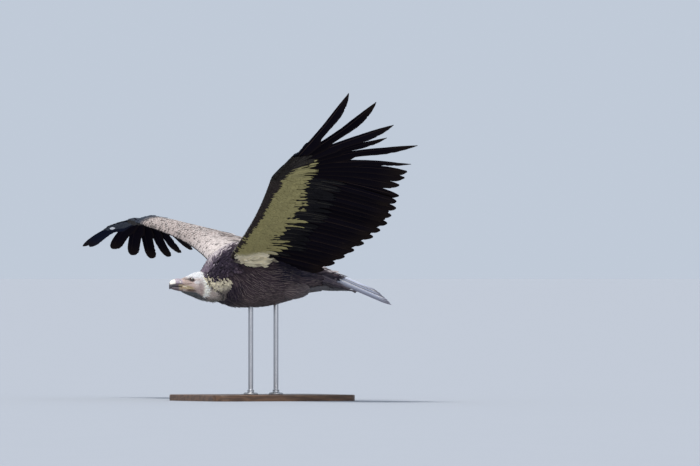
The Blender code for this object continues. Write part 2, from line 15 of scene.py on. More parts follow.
import bpy
import numpy as np
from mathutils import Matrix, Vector

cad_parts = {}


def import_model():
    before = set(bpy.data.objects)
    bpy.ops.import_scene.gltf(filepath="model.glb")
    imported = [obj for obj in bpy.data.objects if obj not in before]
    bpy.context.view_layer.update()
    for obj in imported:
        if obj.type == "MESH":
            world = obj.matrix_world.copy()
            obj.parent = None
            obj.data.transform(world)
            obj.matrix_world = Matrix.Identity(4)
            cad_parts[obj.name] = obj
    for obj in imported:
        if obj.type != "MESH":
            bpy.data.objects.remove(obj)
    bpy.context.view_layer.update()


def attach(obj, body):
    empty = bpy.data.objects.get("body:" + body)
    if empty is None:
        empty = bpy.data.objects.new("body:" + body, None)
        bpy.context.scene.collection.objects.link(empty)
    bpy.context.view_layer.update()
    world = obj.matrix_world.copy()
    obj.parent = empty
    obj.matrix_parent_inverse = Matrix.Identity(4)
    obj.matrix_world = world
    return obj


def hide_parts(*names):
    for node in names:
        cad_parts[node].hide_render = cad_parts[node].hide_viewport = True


log = logging.getLogger("vulture")
Array = np.ndarray
Amount = Union[float, np.ndarray]
Pair = tuple[float, float]
Triple = tuple[float, float, float]
Quad = tuple[float, float, float, float]
Surface = Callable[[Array, Array, Array], Array]
Pieces = list[bpy.types.Object]

TRUNK_HEIGHT = 0.42
ROOT = "root"
BODY_NOSE, BODY_TAIL = -0.321, 0.279
HIP, HEEL = (0.040, 0.064, -0.032), (0.162, 0.041, -0.028)


class Side(Enum):
    """The two sides of the bird, with the sign of Y."""

    LEFT = -1
    RIGHT = 1

    @property
    def word(self) -> str:
        """Return the side's name as the solids spell it."""
        return self.name.lower()

    def place(self, point: Triple) -> Array:
        """Return a point given for the right side, on this side."""
        return np.array((point[0], point[1] * self.value, point[2]))


class Face(Enum):
    """The upper and the lower face of a wing or the tail."""

    UPPER = 1
    UNDER = -1


# ---------------------------------------------------------------- small sums
def fade(low: float, high: float, value: Amount) -> Array:
    """Return 0 at low, 1 at high and a smooth step between."""
    t = np.clip((np.asarray(value, float) - low) / (high - low), 0.0, 1.0)
    return t * t * (3 - 2 * t)


def bell(value: Amount, width: float) -> Array:
    """Return a bump of height one at zero."""
    return np.exp(-((value / width) ** 2))


def power(value: Amount, exponent: float) -> Array:
    """Return a value's size to a power, with its sign kept."""
    return np.sign(value) * np.abs(value) ** exponent


def closing(u: Array, start: float, swell: float, least: float, bend: float) -> Array:
    """Return how wide a feather still is as its tip closes from start to the end."""
    return np.maximum(1 - (np.maximum(0.0, u - start) / (1 - start)) ** swell, least) ** bend


def unit(vectors: Amount) -> Array:
    """Return vectors at length one, along the last axis."""
    vectors = np.asarray(vectors, float)
    return vectors / np.maximum(np.linalg.norm(vectors, axis=-1, keepdims=True), 1e-12)


def mixed(first: Amount, second: Amount, share: Amount) -> Array:
    """Return colours between two colours, by a share of the second."""
    share = np.asarray(share, float)[..., None]
    return np.asarray(first, float) * (1 - share) + np.asarray(second, float) * share


def turns(count: int, shift: float = 0.0) -> Array:
    """Return even angles once round a circle."""
    return math.tau * (np.arange(count) + shift) / count


def wrapped(a: Array, share: Array) -> Array:
    """Return places on an unwrap, by the angle round a form and a share of its length."""
    return np.stack((0.01 + 0.98 * (a / math.tau % 1.0), share), -1)


def doubled(top: Array, bottom: Array) -> Array:
    """Return rings that run over an upper face and back over a lower one."""
    return np.concatenate((top, bottom[:, ::-1]), 1)


def stations(table: Sequence[Sequence[float]], x: Amount) -> list[Array]:
    """Read a table of stations along a smooth curve through its rows.

    Args:
        table: rows of a place and the values there.
        x: the places to read.

    Returns:
        Each value at each place.
    """
    rows = np.array(table)
    x = np.asarray(x, float)
    i = np.clip(np.searchsorted(rows[:, 0], x) - 1, 0, len(rows) - 2)
    before, after = rows[np.maximum(i - 1, 0)], rows[np.minimum(i + 2, len(rows) - 1)]
    start, end = rows[i], rows[i + 1]
    span = (end - start)[..., :1]
    t = (x[..., None] - start[..., :1]) / span
    slope_in = (end - before)[..., 1:] / (end - before)[..., :1]
    slope_out = (after - start)[..., 1:] / (after - start)[..., :1]
    values = ((2 * t**3 - 3 * t**2 + 1) * start[..., 1:] + (t**3 - 2 * t**2 + t) * span * slope_in
              + (3 * t**2 - 2 * t**3) * end[..., 1:] + (t**3 - t**2) * span * slope_out)
    return list(np.moveaxis(values, -1, 0))


def raised(points: Array) -> Array:
    """Move points given from the trunk's middle to their height above the floor."""
    return points + np.array((0.0, 0.0, TRUNK_HEIGHT))


def tube_faces(first: int, steps: int, around: int) -> list[list[int]]:
    """Return the faces of a closed tube of rings.

    Args:
        first: the number of its first point.
        steps: how many rings it has.
        around: how many points a ring has.

    Returns:
        The quads between rings, then the two ends.
    """
    index = first + np.arange(steps * around).reshape(steps, around)
    near, far, beside = index[:-1], index[1:], (np.arange(around) + 1) % around
    quads = np.stack((near, near[:, beside], far[:, beside], far), -1).reshape(-1, 4)
    return quads.tolist() + [index[0][::-1].tolist(), index[-1].tolist()]


# ---------------------------------------------------------------- shader sums
class Link:
    """A socket whose arithmetic adds Math nodes."""

    def __init__(self, board: "Board", socket: bpy.types.NodeSocket) -> None:
        """Hold a socket and the tree that it is in."""
        self.board, self.socket = board, socket

    def sum(self, operation: str, *others: "Term") -> "Link":
        """Add one Math node on this value and the others."""
        values = dict(enumerate((self, *others)))
        return self.board.node("ShaderNodeMath", {"operation": operation}, values)

    def __add__(self, other: "Term") -> "Link":
        """Return the sum."""
        return self.sum("ADD", other)

    __radd__ = __add__

    def __sub__(self, other: "Term") -> "Link":
        """Return the difference."""
        return self.sum("SUBTRACT", other)

    def __rsub__(self, other: "Term") -> "Link":
        """Return a number less this value."""
        return (self * -1.0).sum("ADD", other)

    def __mul__(self, other: "Term") -> "Link":
        """Return the product."""
        return self.sum("MULTIPLY", other)

    __rmul__ = __mul__

    def __abs__(self) -> "Link":
        """Return the size without its sign."""
        return self.sum("ABSOLUTE")

    def sine(self) -> "Link":
        """Return the sine of this value in radians."""
        return self.sum("SINE")

    def least(self, other: "Term") -> "Link":
        """Return the smaller value."""
        return self.sum("MINIMUM", other)

    def most(self, other: "Term") -> "Link":
        """Return the larger value."""
        return self.sum("MAXIMUM", other)

    def step(self, low: float, high: float) -> "Link":
        """Return a smooth step from 0 at low to 1 at high."""
        values = {0: self, 1: low, 2: high, 3: 0.0, 4: 1.0}
        return self.board.node("ShaderNodeMapRange", {"interpolation_type": "SMOOTHSTEP"}, values)


Term = Union[Link, float]


class Board:
    """The node tree of one material."""

    def __init__(self, name: str) -> None:
        """Start an empty tree.

        Args:
            name: the material's name.
        """
        self.material = bpy.data.materials.new(name)
        self.material.use_nodes = True
        self.tree = self.material.node_tree
        self.tree.nodes.clear()

    def node(self, kind: str, settings: Optional[dict] = None, values: Optional[dict] = None,
             output: Union[int, str] = 0) -> Optional[Link]:
        """Add a node, set it, then feed its sockets.

        Args:
            kind: the node's type.
            settings: its own settings, set before its sockets are read.
            values: socket name or number to a value or a link.
            output: which output is returned.

        Returns:
            A link from the output, if the node has any.
        """
        node = self.tree.nodes.new(kind)
        for key, value in (settings or {}).items():
            setattr(node, key, value)
        for key, value in (values or {}).items():
            if isinstance(value, Link):
                self.tree.links.new(value.socket, node.inputs[key])
            else:
                node.inputs[key].default_value = value
        return Link(self, node.outputs[output]) if node.outputs else None

    def attribute(self, name: str, output: str = "Color") -> Link:
        """Return an output of a mesh attribute."""
        settings = {"attribute_name": name, "attribute_type": "GEOMETRY"}
        return self.node("ShaderNodeAttribute", settings, output=output)

    def parts(self, vector: Link) -> list[Link]:
        """Return the three numbers of a vector."""
        node = self.node("ShaderNodeSeparateXYZ", values={0: vector}).socket.node
        return [Link(self, socket) for socket in node.outputs]

    def place(self) -> Link:
        """Return the object's own coordinates."""
        return self.node("ShaderNodeTexCoord", output="Object")

    def noise(self, vector: Link, scale: float, detail: float = 3.0) -> Link:
        """Return a cloudy value from 0 to 1."""
        values = {"Vector": vector, "Scale": scale, "Detail": detail, "Roughness": 0.55}
        return self.node("ShaderNodeTexNoise", values=values, output="Fac")

    def stretch(self, vector: Link, amounts: Triple) -> Link:
        """Return a vector with its axes scaled."""
        return self.node("ShaderNodeVectorMath", {"operation": "MULTIPLY"}, {0: vector, 1: amounts})

    def mix(self, first: Union[Link, Triple], second: Union[Link, Triple], share: Term,
            blend: str = "MIX") -> Link:
        """Return a colour between two colours.

        Args:
            first: the first colour.
            second: the second colour.
            share: how much of the second.
            blend: how they blend.

        Returns:
            The colour.
        """
        pair = [c if isinstance(c, Link) else (*c, 1.0) for c in (first, second)]
        settings = {"data_type": "RGBA", "blend_type": blend, "clamp_factor": True}
        return self.node("ShaderNodeMix", settings, {0: share, 6: pair[0], 7: pair[1]}, 2)

    def tone(self, light: Link) -> Link:
        """Return the colour laid on the mesh, multiplied by a value."""
        return self.mix(self.attribute("tone"), light, 1.0, "MULTIPLY")

    def bump(self, height: Link, strength: float, distance: float) -> Link:
        """Return a normal bent by a height."""
        values = {"Strength": strength, "Distance": distance, "Height": height}
        return self.node("ShaderNodeBump", values=values)


# ---------------------------------------------------------------- finishes
@dataclass(frozen=True)
class Finish:
    """A named material, made once however many pieces wear it."""

    name: str

    def sockets(self, board: Board) -> dict:
        """Return the Principled shader's inputs, by name."""
        raise NotImplementedError

    @cache
    def material(self) -> bpy.types.Material:
        """Return the material.

        Returns:
            The material.
        """
        board = Board(self.name)
        shader = board.node("ShaderNodeBsdfPrincipled", values=self.sockets(board))
        board.node("ShaderNodeOutputMaterial", values={"Surface": shader})
        return board.material


@dataclass(frozen=True)
class PlumeFinish(Finish):
    """Feather vanes: a body tone, a pale shaft, a fringe and fine slanting barbs."""

    barbs: float = 34.0
    slant: float = 5.0
    shaft_width: float = 0.16
    roughness: float = 0.72
    sheen: float = 0.12
    gloss: float = 0.35

    def sockets(self, board: Board) -> dict:
        """Return the vane's inputs, which read the marks laid down with each vane.

        Args:
            board: the material's tree.

        Returns:
            Values and links by socket name.
        """
        along, across, seed = board.parts(board.attribute("vane", "Vector"))
        edge = abs(across)
        turn = (along * self.barbs - edge * self.slant + seed * 7.0) * math.tau
        barb = turn.sine() * 0.5 + 0.5
        fine = board.noise(board.place(), 210.0, 2.0)
        soft = board.noise(board.place(), 38.0, 2.0)
        # the step along each vane darkens its root: painted shade where the vanes overlap
        light = 0.80 + barb * 0.10 + fine * 0.14 + soft * 0.10 + along.step(0.0, 0.6) * 0.06
        colour = board.tone(light)
        wobble = (fine - 0.5) * 0.25
        rim = (edge + wobble).most(along * 1.02 + wobble * 0.3).step(0.74, 0.97)
        fringe = rim * board.attribute("fringe", "Alpha")
        colour = board.mix(colour, board.attribute("fringe"), fringe)
        line = 1.0 - edge.step(self.shaft_width * 0.45, self.shaft_width)
        line = line * along.step(0.02, 0.12) * (1.0 - along.step(0.86, 0.99))
        shaft = line * board.attribute("shaft", "Alpha")
        colour = board.mix(colour, board.attribute("shaft"), shaft)
        rough = self.roughness - shaft * 0.2 + (fine - 0.5) * 0.12
        return {"Base Color": colour, "Roughness": rough, "Sheen Weight": self.sheen,
                "Normal": board.bump(barb * 0.6 + fine * 0.6, 0.35, 0.0006),
                "Sheen Roughness": 0.5, "Specular IOR Level": self.gloss}


@dataclass(frozen=True)
class SkinFinish(Finish):
    """Bare or downy skin: the marking laid on its points, with folds, pores and blotches."""

    name: str = "skin_under_plumage"
    roughness: float = 0.58

    def sockets(self, board: Board) -> dict:
        """Return the skin's inputs.

        Args:
            board: the material's tree.

        Returns:
            Values and links by socket name.
        """
        place = board.place()
        blotch = board.noise(place, 60.0, 4.0)
        pores = board.node("ShaderNodeTexVoronoi", values={"Vector": place, "Scale": 900.0})
        folds = board.noise(board.stretch(place, (2.2, 0.7, 1.0)), 150.0)
        return {"Base Color": board.tone(0.72 + blotch * 0.36 + folds * 0.18),
                "Normal": board.bump(pores * 0.4 + folds, 0.5, 0.0009),
                "Roughness": self.roughness + (blotch - 0.5) * 0.2, "Subsurface Weight": 0.06,
                "Subsurface Scale": 0.004, "Specular IOR Level": 0.4}


@dataclass(frozen=True)
class HornFinish(Finish):
    """Bill horn or claw keratin: a laid-on tone with growth lines and a worn polish."""

    roughness: float = 0.34

    def sockets(self, board: Board) -> dict:
        """Return the horn's inputs.

        Args:
            board: the material's tree.

        Returns:
            Values and links by socket name.
        """
        place = board.place()
        lines = board.noise(board.stretch(place, (1.0, 0.35, 3.0)), 420.0)
        wear = board.noise(place, 90.0, 4.0)
        return {"Base Color": board.tone(0.74 + lines * 0.24 + wear * 0.24),
                "Normal": board.bump(lines + wear * 0.6, 0.3, 0.0004),
                "Roughness": self.roughness + (wear - 0.5) * 0.3,
                "Coat Weight": 0.15, "Coat Roughness": 0.2}


@dataclass(frozen=True)
class EyeFinish(Finish):
    """A dark brown iris round a black pupil, ringed by a darker edge, under a wet cornea."""

    pupil: Triple = (0.002, 0.002, 0.002)
    iris: Triple = (0.050, 0.022, 0.010)
    spoke: Triple = (0.11, 0.055, 0.022)
    rim: Triple = (0.006, 0.004, 0.004)

    def sockets(self, board: Board) -> dict:
        """Return the eye's inputs, which read how far out from the pupil each point is.

        Args:
            board: the material's tree.

        Returns:
            Values and links by socket name.
        """
        out, angle, _ = board.parts(board.attribute("vane", "Vector"))
        spokes = board.noise(board.node("ShaderNodeCombineXYZ", values={0: angle, 1: out}), 6.0)
        colour = board.mix(self.pupil, self.iris, (out + spokes * 0.05).step(0.25, 0.31))
        colour = board.mix(colour, self.spoke, spokes.step(0.5, 0.7) * 0.5
                           * out.step(0.3, 0.4) * (1.0 - out.step(0.5, 0.62)))
        colour = board.mix(colour, self.rim, out.step(0.6, 0.72))
        return {"Base Color": colour, "Roughness": 0.06 + spokes * 0.03, "Coat Weight": 1.0,
                "Coat Roughness": 0.02, "Specular IOR Level": 0.6}


@dataclass(frozen=True)
class WoodFinish(Finish):
    """Oiled dark wood with grain along the board, rings and small pores."""

    name: str = "oiled_walnut"
    light: Triple = (0.150, 0.078, 0.040)
    dark: Triple = (0.048, 0.024, 0.013)
    pore: Triple = (0.02, 0.010, 0.006)

    def sockets(self, board: Board) -> dict:
        """Return the wood's inputs.

        Args:
            board: the material's tree.

        Returns:
            Values and links by socket name.
        """
        place = board.place()
        drift = board.noise(board.stretch(place, (2.0, 9.0, 9.0)), 2.2)
        x, y, z = board.parts(place)
        rings = ((y * 26.0 + z * 40.0 + drift * 7.0 + x * 0.8) * math.tau * 0.8).sine() * 0.5 + 0.5
        fibre = board.noise(board.stretch(place, (3.0, 110.0, 110.0)), 6.0)
        pores = board.noise(board.stretch(place, (14.0, 380.0, 380.0)), 3.0, 1.0).step(0.62, 0.72)
        colour = board.mix(self.dark, self.light, (rings * 0.65 + fibre * 0.5).least(1.0))
        return {"Base Color": board.mix(colour, self.pore, pores * 0.6),
                "Normal": board.bump(fibre - pores, 0.25, 0.0005),
                "Roughness": 0.42 + fibre * 0.18, "Coat Weight": 0.12, "Coat Roughness": 0.3}


@dataclass(frozen=True)
class SteelFinish(Finish):
    """Brushed steel with fine turned lines."""

    colour: Triple = (0.52, 0.52, 0.53)
    rubbed: Triple = (0.36, 0.36, 0.38)

    def sockets(self, board: Board) -> dict:
        """Return the steel's inputs.

        Args:
            board: the material's tree.

        Returns:
            Values and links by socket name.
        """
        place = board.place()
        lines = board.noise(board.stretch(place, (30.0, 30.0, 900.0)), 3.0, 2.0)
        marks = board.noise(place, 45.0, 4.0)
        return {"Base Color": board.mix(self.colour, self.rubbed, marks * 0.5), "Metallic": 1.0,
                "Normal": board.bump(lines, 0.15, 0.0002),
                "Roughness": 0.24 + lines * 0.18 + marks * 0.06}


@dataclass(frozen=True)
class FloorFinish(Finish):
    """Plain pale studio paper."""

    name: str = "studio_floor"
    colour: Triple = (0.352, 0.376, 0.417)
    cloud: Triple = (0.338, 0.362, 0.405)

    def sockets(self, board: Board) -> dict:
        """Return the floor's inputs."""
        cloud = board.noise(board.place(), 3.0)
        return {"Base Color": board.mix(self.colour, self.cloud, cloud), "Roughness": 0.9}


# ---------------------------------------------------------------- meshes
@dataclass
class Marks:
    """The colours laid on a group of vanes: body tone, fringe and shaft with their strengths."""

    tone: Array
    fringe: Array
    shaft: Array

    @staticmethod
    def laid(tone: Array, edge: Amount, rim: Amount, line: Amount = 0.0,
             strength: Amount = 0.0) -> "Marks":
        """Return marks made from colours and strengths.

        Args:
            tone: the body tone of each vane.
            edge: the fringe's colour.
            rim: how strongly the fringe shows.
            line: the shaft's colour.
            strength: how strongly the shaft shows.

        Returns:
            The marks.
        """
        def strong(colour: Amount, share: Amount) -> Array:
            """Return a colour and its strength for each vane."""
            colour = np.clip(np.broadcast_to(colour, tone.shape), 0, 1)
            return np.column_stack((colour, np.broadcast_to(share, len(tone))))
        return Marks(np.clip(tone, 0, 1), strong(edge, rim), strong(line, strength))


class Pile:
    """Closed lofts gathered from arrays and joined into one mesh with its marks."""

    KINDS = {"vane": "FLOAT_VECTOR", "tone": "FLOAT_COLOR", "fringe": "FLOAT_COLOR",
             "shaft": "FLOAT_COLOR"}
    UPPER_STRIP, UNDER_STRIP = (-0.12, 0.35), (0.40, 0.11)

    def __init__(self, name: str) -> None:
        """Start an empty pile."""
        self.name, self.count, self.mapped = name, 0, True
        self.rows: dict[str, list[Array]] = defaultdict(list)

    def joined(self, key: str) -> Array:
        """Return all that was gathered under a name."""
        return np.concatenate(self.rows[key])

    def add(self, rings: Array, vane: Array, marks: Marks, spots: Array,
            patch: Pair = (0.003, 0.003), tops: Optional[int] = None) -> None:
        """Add closed lofts.

        Args:
            rings: points, shaped lofts by rings by points of a ring by 3.
            vane: along, across and seed at each point.
            marks: their colours, with the tone at each point or for each loft.
            spots: the middle of each loft's patch on the unwrap.
            patch: the patch's width and height.
            tops: how many points of a ring are on its upper face, both edges included.
        """
        lofts, steps, around, _ = rings.shape
        tops = tops or around
        base = self.count
        index = base + np.arange(lofts * steps * around).reshape(lofts, steps, around)
        self.count += index.size
        near, far, k = index[:, :-1], index[:, 1:], np.arange(around)
        m, n = (k + 1) % around, k[1:-1]
        quads = np.stack((near, near[:, :, m], far[:, :, m], far), axis=-1).reshape(-1, 4)
        first, last = index[:, 0], index[:, -1]
        fans = np.stack(np.broadcast_arrays(first[:, :1], first[:, n + 1], first[:, n]), -1)
        flips = np.stack(np.broadcast_arrays(last[:, :1], last[:, n], last[:, n + 1]), -1)
        tris = np.concatenate((fans, flips), axis=1).reshape(-1, 3)
        tone = marks.tone if marks.tone.ndim == 4 else marks.tone[:, None, None]
        tone = np.broadcast_to(tone, rings.shape)
        loft_of = np.repeat(np.arange(lofts), steps * around)

        def laid(faces: Array, under: Array) -> Array:
            """Return the unwrap places of faces, with the under faces beside the upper ones.

            Args:
                faces: the point numbers of each face.
                under: which of them are under faces.

            Returns:
                A place for each corner.
            """
            flat = faces - base
            along, across, _ = np.moveaxis(vane.reshape(-1, 3)[flat], -1, 0)
            upper, lower = (start + across * wide for start, wide in (self.UPPER_STRIP,
                                                                      self.UNDER_STRIP))
            u = np.where(under[:, None], lower, upper) * patch[0]
            v = (along - 0.5) * patch[1] * 0.96
            return (spots[loft_of[flat]] + np.stack((u, v), -1)).reshape(-1, 2)

        under = np.broadcast_to(k >= tops - 1, (lofts, steps - 1, around)).reshape(-1)
        full = (lofts, steps, around, 4)
        for key, value, width in (
                ("points", rings, 3), ("quads", quads, 4), ("tris", tris, 3), ("vane", vane, 3),
                ("tone", np.concatenate((tone, np.ones((*tone.shape[:-1], 1))), -1), 4),
                ("fringe", np.broadcast_to(marks.fringe[:, None, None], full), 4),
                ("shaft", np.broadcast_to(marks.shaft[:, None, None], full), 4),
                ("quad_places", laid(quads, under), 2),
                ("tri_places", laid(tris, np.zeros(len(tris), bool)), 2)):
            self.rows[key].append(value.reshape(-1, width))
        if tops < around or around == 3:
            for column in (0, min(tops, around) - 1):
                pairs = np.stack((near[:, :, column], far[:, :, column]), -1)
                self.rows["creases"].append(pairs.reshape(-1, 2))

    def solid(self, rings: Array, tone: Amount, vane: Optional[Array] = None) -> None:
        """Add one closed loft that needs no unwrap.

        Args:
            rings: points, shaped rings by points of a ring by 3.
            tone: its colour, for all or at each point.
            vane: along, across and seed at each point.
        """
        self.mapped, blank = False, np.zeros((1, 4))
        vane = np.zeros(rings.shape) if vane is None else vane
        tone = np.broadcast_to(tone, rings.shape)[None]
        self.add(rings[None], vane[None], Marks(tone, blank, blank), np.full((1, 2), 0.5))

    def build(self, finish: Finish, slot: str, *replaced: str) -> bpy.types.Object:
        """Make the mesh object, ride it on the bird and hide the solids that it stands for.

        Args:
            finish: its finish.
            slot: a slot name, passed on to settle.
            replaced: the solids that the piece stands for.

        Returns:
            The new object.
        """
        points, quads, tris = (self.joined(key) for key in ("points", "quads", "tris"))
        mesh = bpy.data.meshes.new(self.name)
        mesh.vertices.add(len(points))
        mesh.vertices.foreach_set("co", raised(points).ravel())
        corners = np.concatenate((quads.ravel(), tris.ravel()))
        mesh.loops.add(len(corners))
        mesh.loops.foreach_set("vertex_index", corners)
        starts = np.append(np.arange(len(quads)) * 4, quads.size + np.arange(len(tris)) * 3)
        mesh.polygons.add(len(starts))
        mesh.polygons.foreach_set("loop_start", starts)
        mesh.polygons.foreach_set("use_smooth", np.ones(len(starts), bool))
        mesh.update(calc_edges=True)
        for name, kind in self.KINDS.items():
            layer = mesh.attributes.new(name, kind, "POINT")
            key = "vector" if name == "vane" else "color"
            layer.data.foreach_set(key, self.joined(name).astype(np.float32).ravel())
        if self.mapped:
            layer = mesh.uv_layers.new(name="OFBake")
            places = np.concatenate((self.joined("quad_places"), self.joined("tri_places")))
            layer.data.foreach_set("uv", np.clip(places, 0.0, 1.0).astype(np.float32).ravel())
        if self.rows["creases"]:
            self.sharpen(mesh)
        return settle(mesh, finish, slot, *replaced)

    def sharpen(self, mesh: bpy.types.Mesh) -> None:
        """Mark the vanes' two edges as sharp on the finished mesh.

        Args:
            mesh: the mesh.
        """
        ends = np.empty(len(mesh.edges) * 2, np.int64)
        mesh.edges.foreach_get("vertices", ends)
        size = len(mesh.vertices)
        ends, wanted = np.sort(ends.reshape(-1, 2), axis=1), np.sort(self.joined("creases"), axis=1)
        hit = np.isin(ends[:, 0] * size + ends[:, 1], wanted[:, 0] * size + wanted[:, 1])
        mesh.attributes.new("sharp_edge", "BOOLEAN", "EDGE").data.foreach_set("value", hit)


def settle(mesh: bpy.types.Mesh, finish: Finish, slot: str, *replaced: str) -> bpy.types.Object:
    """Put a finished mesh in the scene under its own name, riding on the bird.

    Args:
        mesh: the mesh.
        finish: its finish.
        slot: not used.
        replaced: the solids that it stands for.

    Returns:
        The new object.
    """
    mesh.materials.append(finish.material())
    piece = bpy.data.objects.new(mesh.name, mesh)
    bpy.context.scene.collection.objects.link(piece)
    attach(piece, ROOT)
    if replaced:
        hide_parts(*replaced)
    return piece


def tube_rings(path: Array, radii: Array, around: int, flat: float = 1.0) -> Array:
    """Return rings round a path.

    Args:
        path: the middle line.
        radii: the radius at each of its points.
        around: points of a ring.
        flat: the height of a ring over its width.

    Returns:
        Rings shaped path by ring by 3.
    """
    along = unit(np.gradient(path, axis=0))
    level = unit(np.cross((0.0, 0.0, 1.0), along))
    up, angle = np.cross(along, level), turns(around)[None, :, None]
    return path[:, None] + radii[:, None, None] * (np.cos(angle) * level[:, None]
                                                   + flat * np.sin(angle) * up[:, None])


# ---------------------------------------------------------------- vanes
@dataclass
class Lay:
    """Where the vanes of a tract grow and how each is cut, for each vane or for all alike."""

    p: Array
    q: Array
    length: Amount
    width: Amount
    turn: Amount
    lift: Amount
    rise: Amount
    bow: float
    seed: int
    COLUMNS = ("p", "q", "length", "width", "turn", "lift", "rise")

    def __post_init__(self) -> None:
        """Give every vane its own values."""
        self.count = len(self.p)
        for name in self.COLUMNS:
            setattr(self, name, np.broadcast_to(getattr(self, name), self.count))

    def kept(self, mask: Array) -> "Lay":
        """Return only the vanes in the mask."""
        return Lay(*(getattr(self, name)[mask] for name in self.COLUMNS), self.bow, self.seed)


@dataclass(frozen=True)
class Cut:
    """The outline of a vane: how full it is at the root and where and how its tip closes."""

    root: float = 0.50
    belly: float = 0.35
    shoulder: float = 0.55
    point: float = 0.5
    rows: int = 7
    ridge: float = 0.10
    thick: float = 0.0004

    def outline(self) -> tuple[Array, Array]:
        """Return the row places and the width at each.

        Returns:
            Row places and widths.
        """
        u = np.linspace(0.0, 1.0, self.rows) ** 0.85
        width = self.root + (1 - self.root) * fade(0.0, self.belly, u)
        tip = np.clip((u - self.shoulder) / (1 - self.shoulder), 0.0, 1.0)
        return u, np.maximum(width * (1 - tip**2) ** self.point, 0.06)


def lay_vanes(pile: Pile, surface: Surface, lay: Lay, cut: Cut, marks: Marks,
              spots: Array) -> None:
    """Lay small vanes along a surface and add them to a pile.

    Args:
        pile: what they are added to.
        surface: gives the point at two surface coordinates and a height.
        lay: where they grow.
        cut: their outline.
        marks: their colours.
        spots: their places on the unwrap.
    """
    step = 1e-3
    here = surface(lay.p, lay.q, 0 * lay.p)
    aside = (surface(lay.p + step, lay.q, 0 * lay.p), surface(lay.p, lay.q + step, 0 * lay.p))
    scale_p, scale_q = (np.maximum(np.linalg.norm(there - here, axis=-1) / step, 1e-4)[
        :, None, None] for there in aside)
    u, wide = cut.outline()
    half = lay.width[:, None] * wide / 2
    reach = lay.length[:, None] * u
    rng = np.random.default_rng(lay.seed)
    sweep = rng.normal(0.0, lay.bow, lay.count)[:, None] * lay.length[:, None] * u**2
    across = np.array((-1.0, 0.0, 1.0))
    b = half[:, :, None] * across + sweep[:, :, None] * 0.5
    a = np.broadcast_to(reach[:, :, None], b.shape)
    cos, sin = np.cos(lay.turn)[:, None, None], np.sin(lay.turn)[:, None, None]
    p = lay.p[:, None, None] + (a * cos - b * sin) / scale_p
    q = lay.q[:, None, None] + (a * sin + b * cos) / scale_q
    height = lay.lift[:, None] + lay.rise[:, None] * u**1.3
    rings = surface(p, q, np.stack((height, height + cut.thick + cut.ridge * half, height), -1))
    seeds = rng.random(lay.count)[:, None, None]
    vane = np.stack(np.broadcast_arrays(u[:, None], across, seeds), -1)
    pile.add(rings, vane, marks, spots, tops=3)


def grid(p_rows: Array, q_range: Pair, spacing: Amount, span: Amount,
         rng: np.random.Generator, stir: float = 0.25) -> tuple[Array, Array, Array]:
    """Return staggered root places in rows.

    Args:
        p_rows: where each row stands.
        q_range: from where to where each row runs.
        spacing: the gap between roots in metres, for each row or for all.
        span: how long each row is in metres.
        rng: the random numbers.
        stir: how far roots stray, in gaps.

    Returns:
        The p, q and row number of each root.
    """
    ps, qs, rows = [], [], []
    low, high = q_range
    pitch = np.gradient(p_rows)
    counts = np.round(np.broadcast_to(span / np.asarray(spacing), len(p_rows))).astype(int)
    for i, n in enumerate(np.maximum(counts, 3)):
        q = (np.arange(n) + 0.25 + 0.5 * (i % 2) + rng.uniform(-stir, stir, n)) / n
        qs.append(low + (high - low) * q)
        ps.append(p_rows[i] + pitch[i] * rng.uniform(-stir, stir, n))
        rows.append(np.full(n, i))
    return np.concatenate(ps), np.concatenate(qs), np.concatenate(rows)


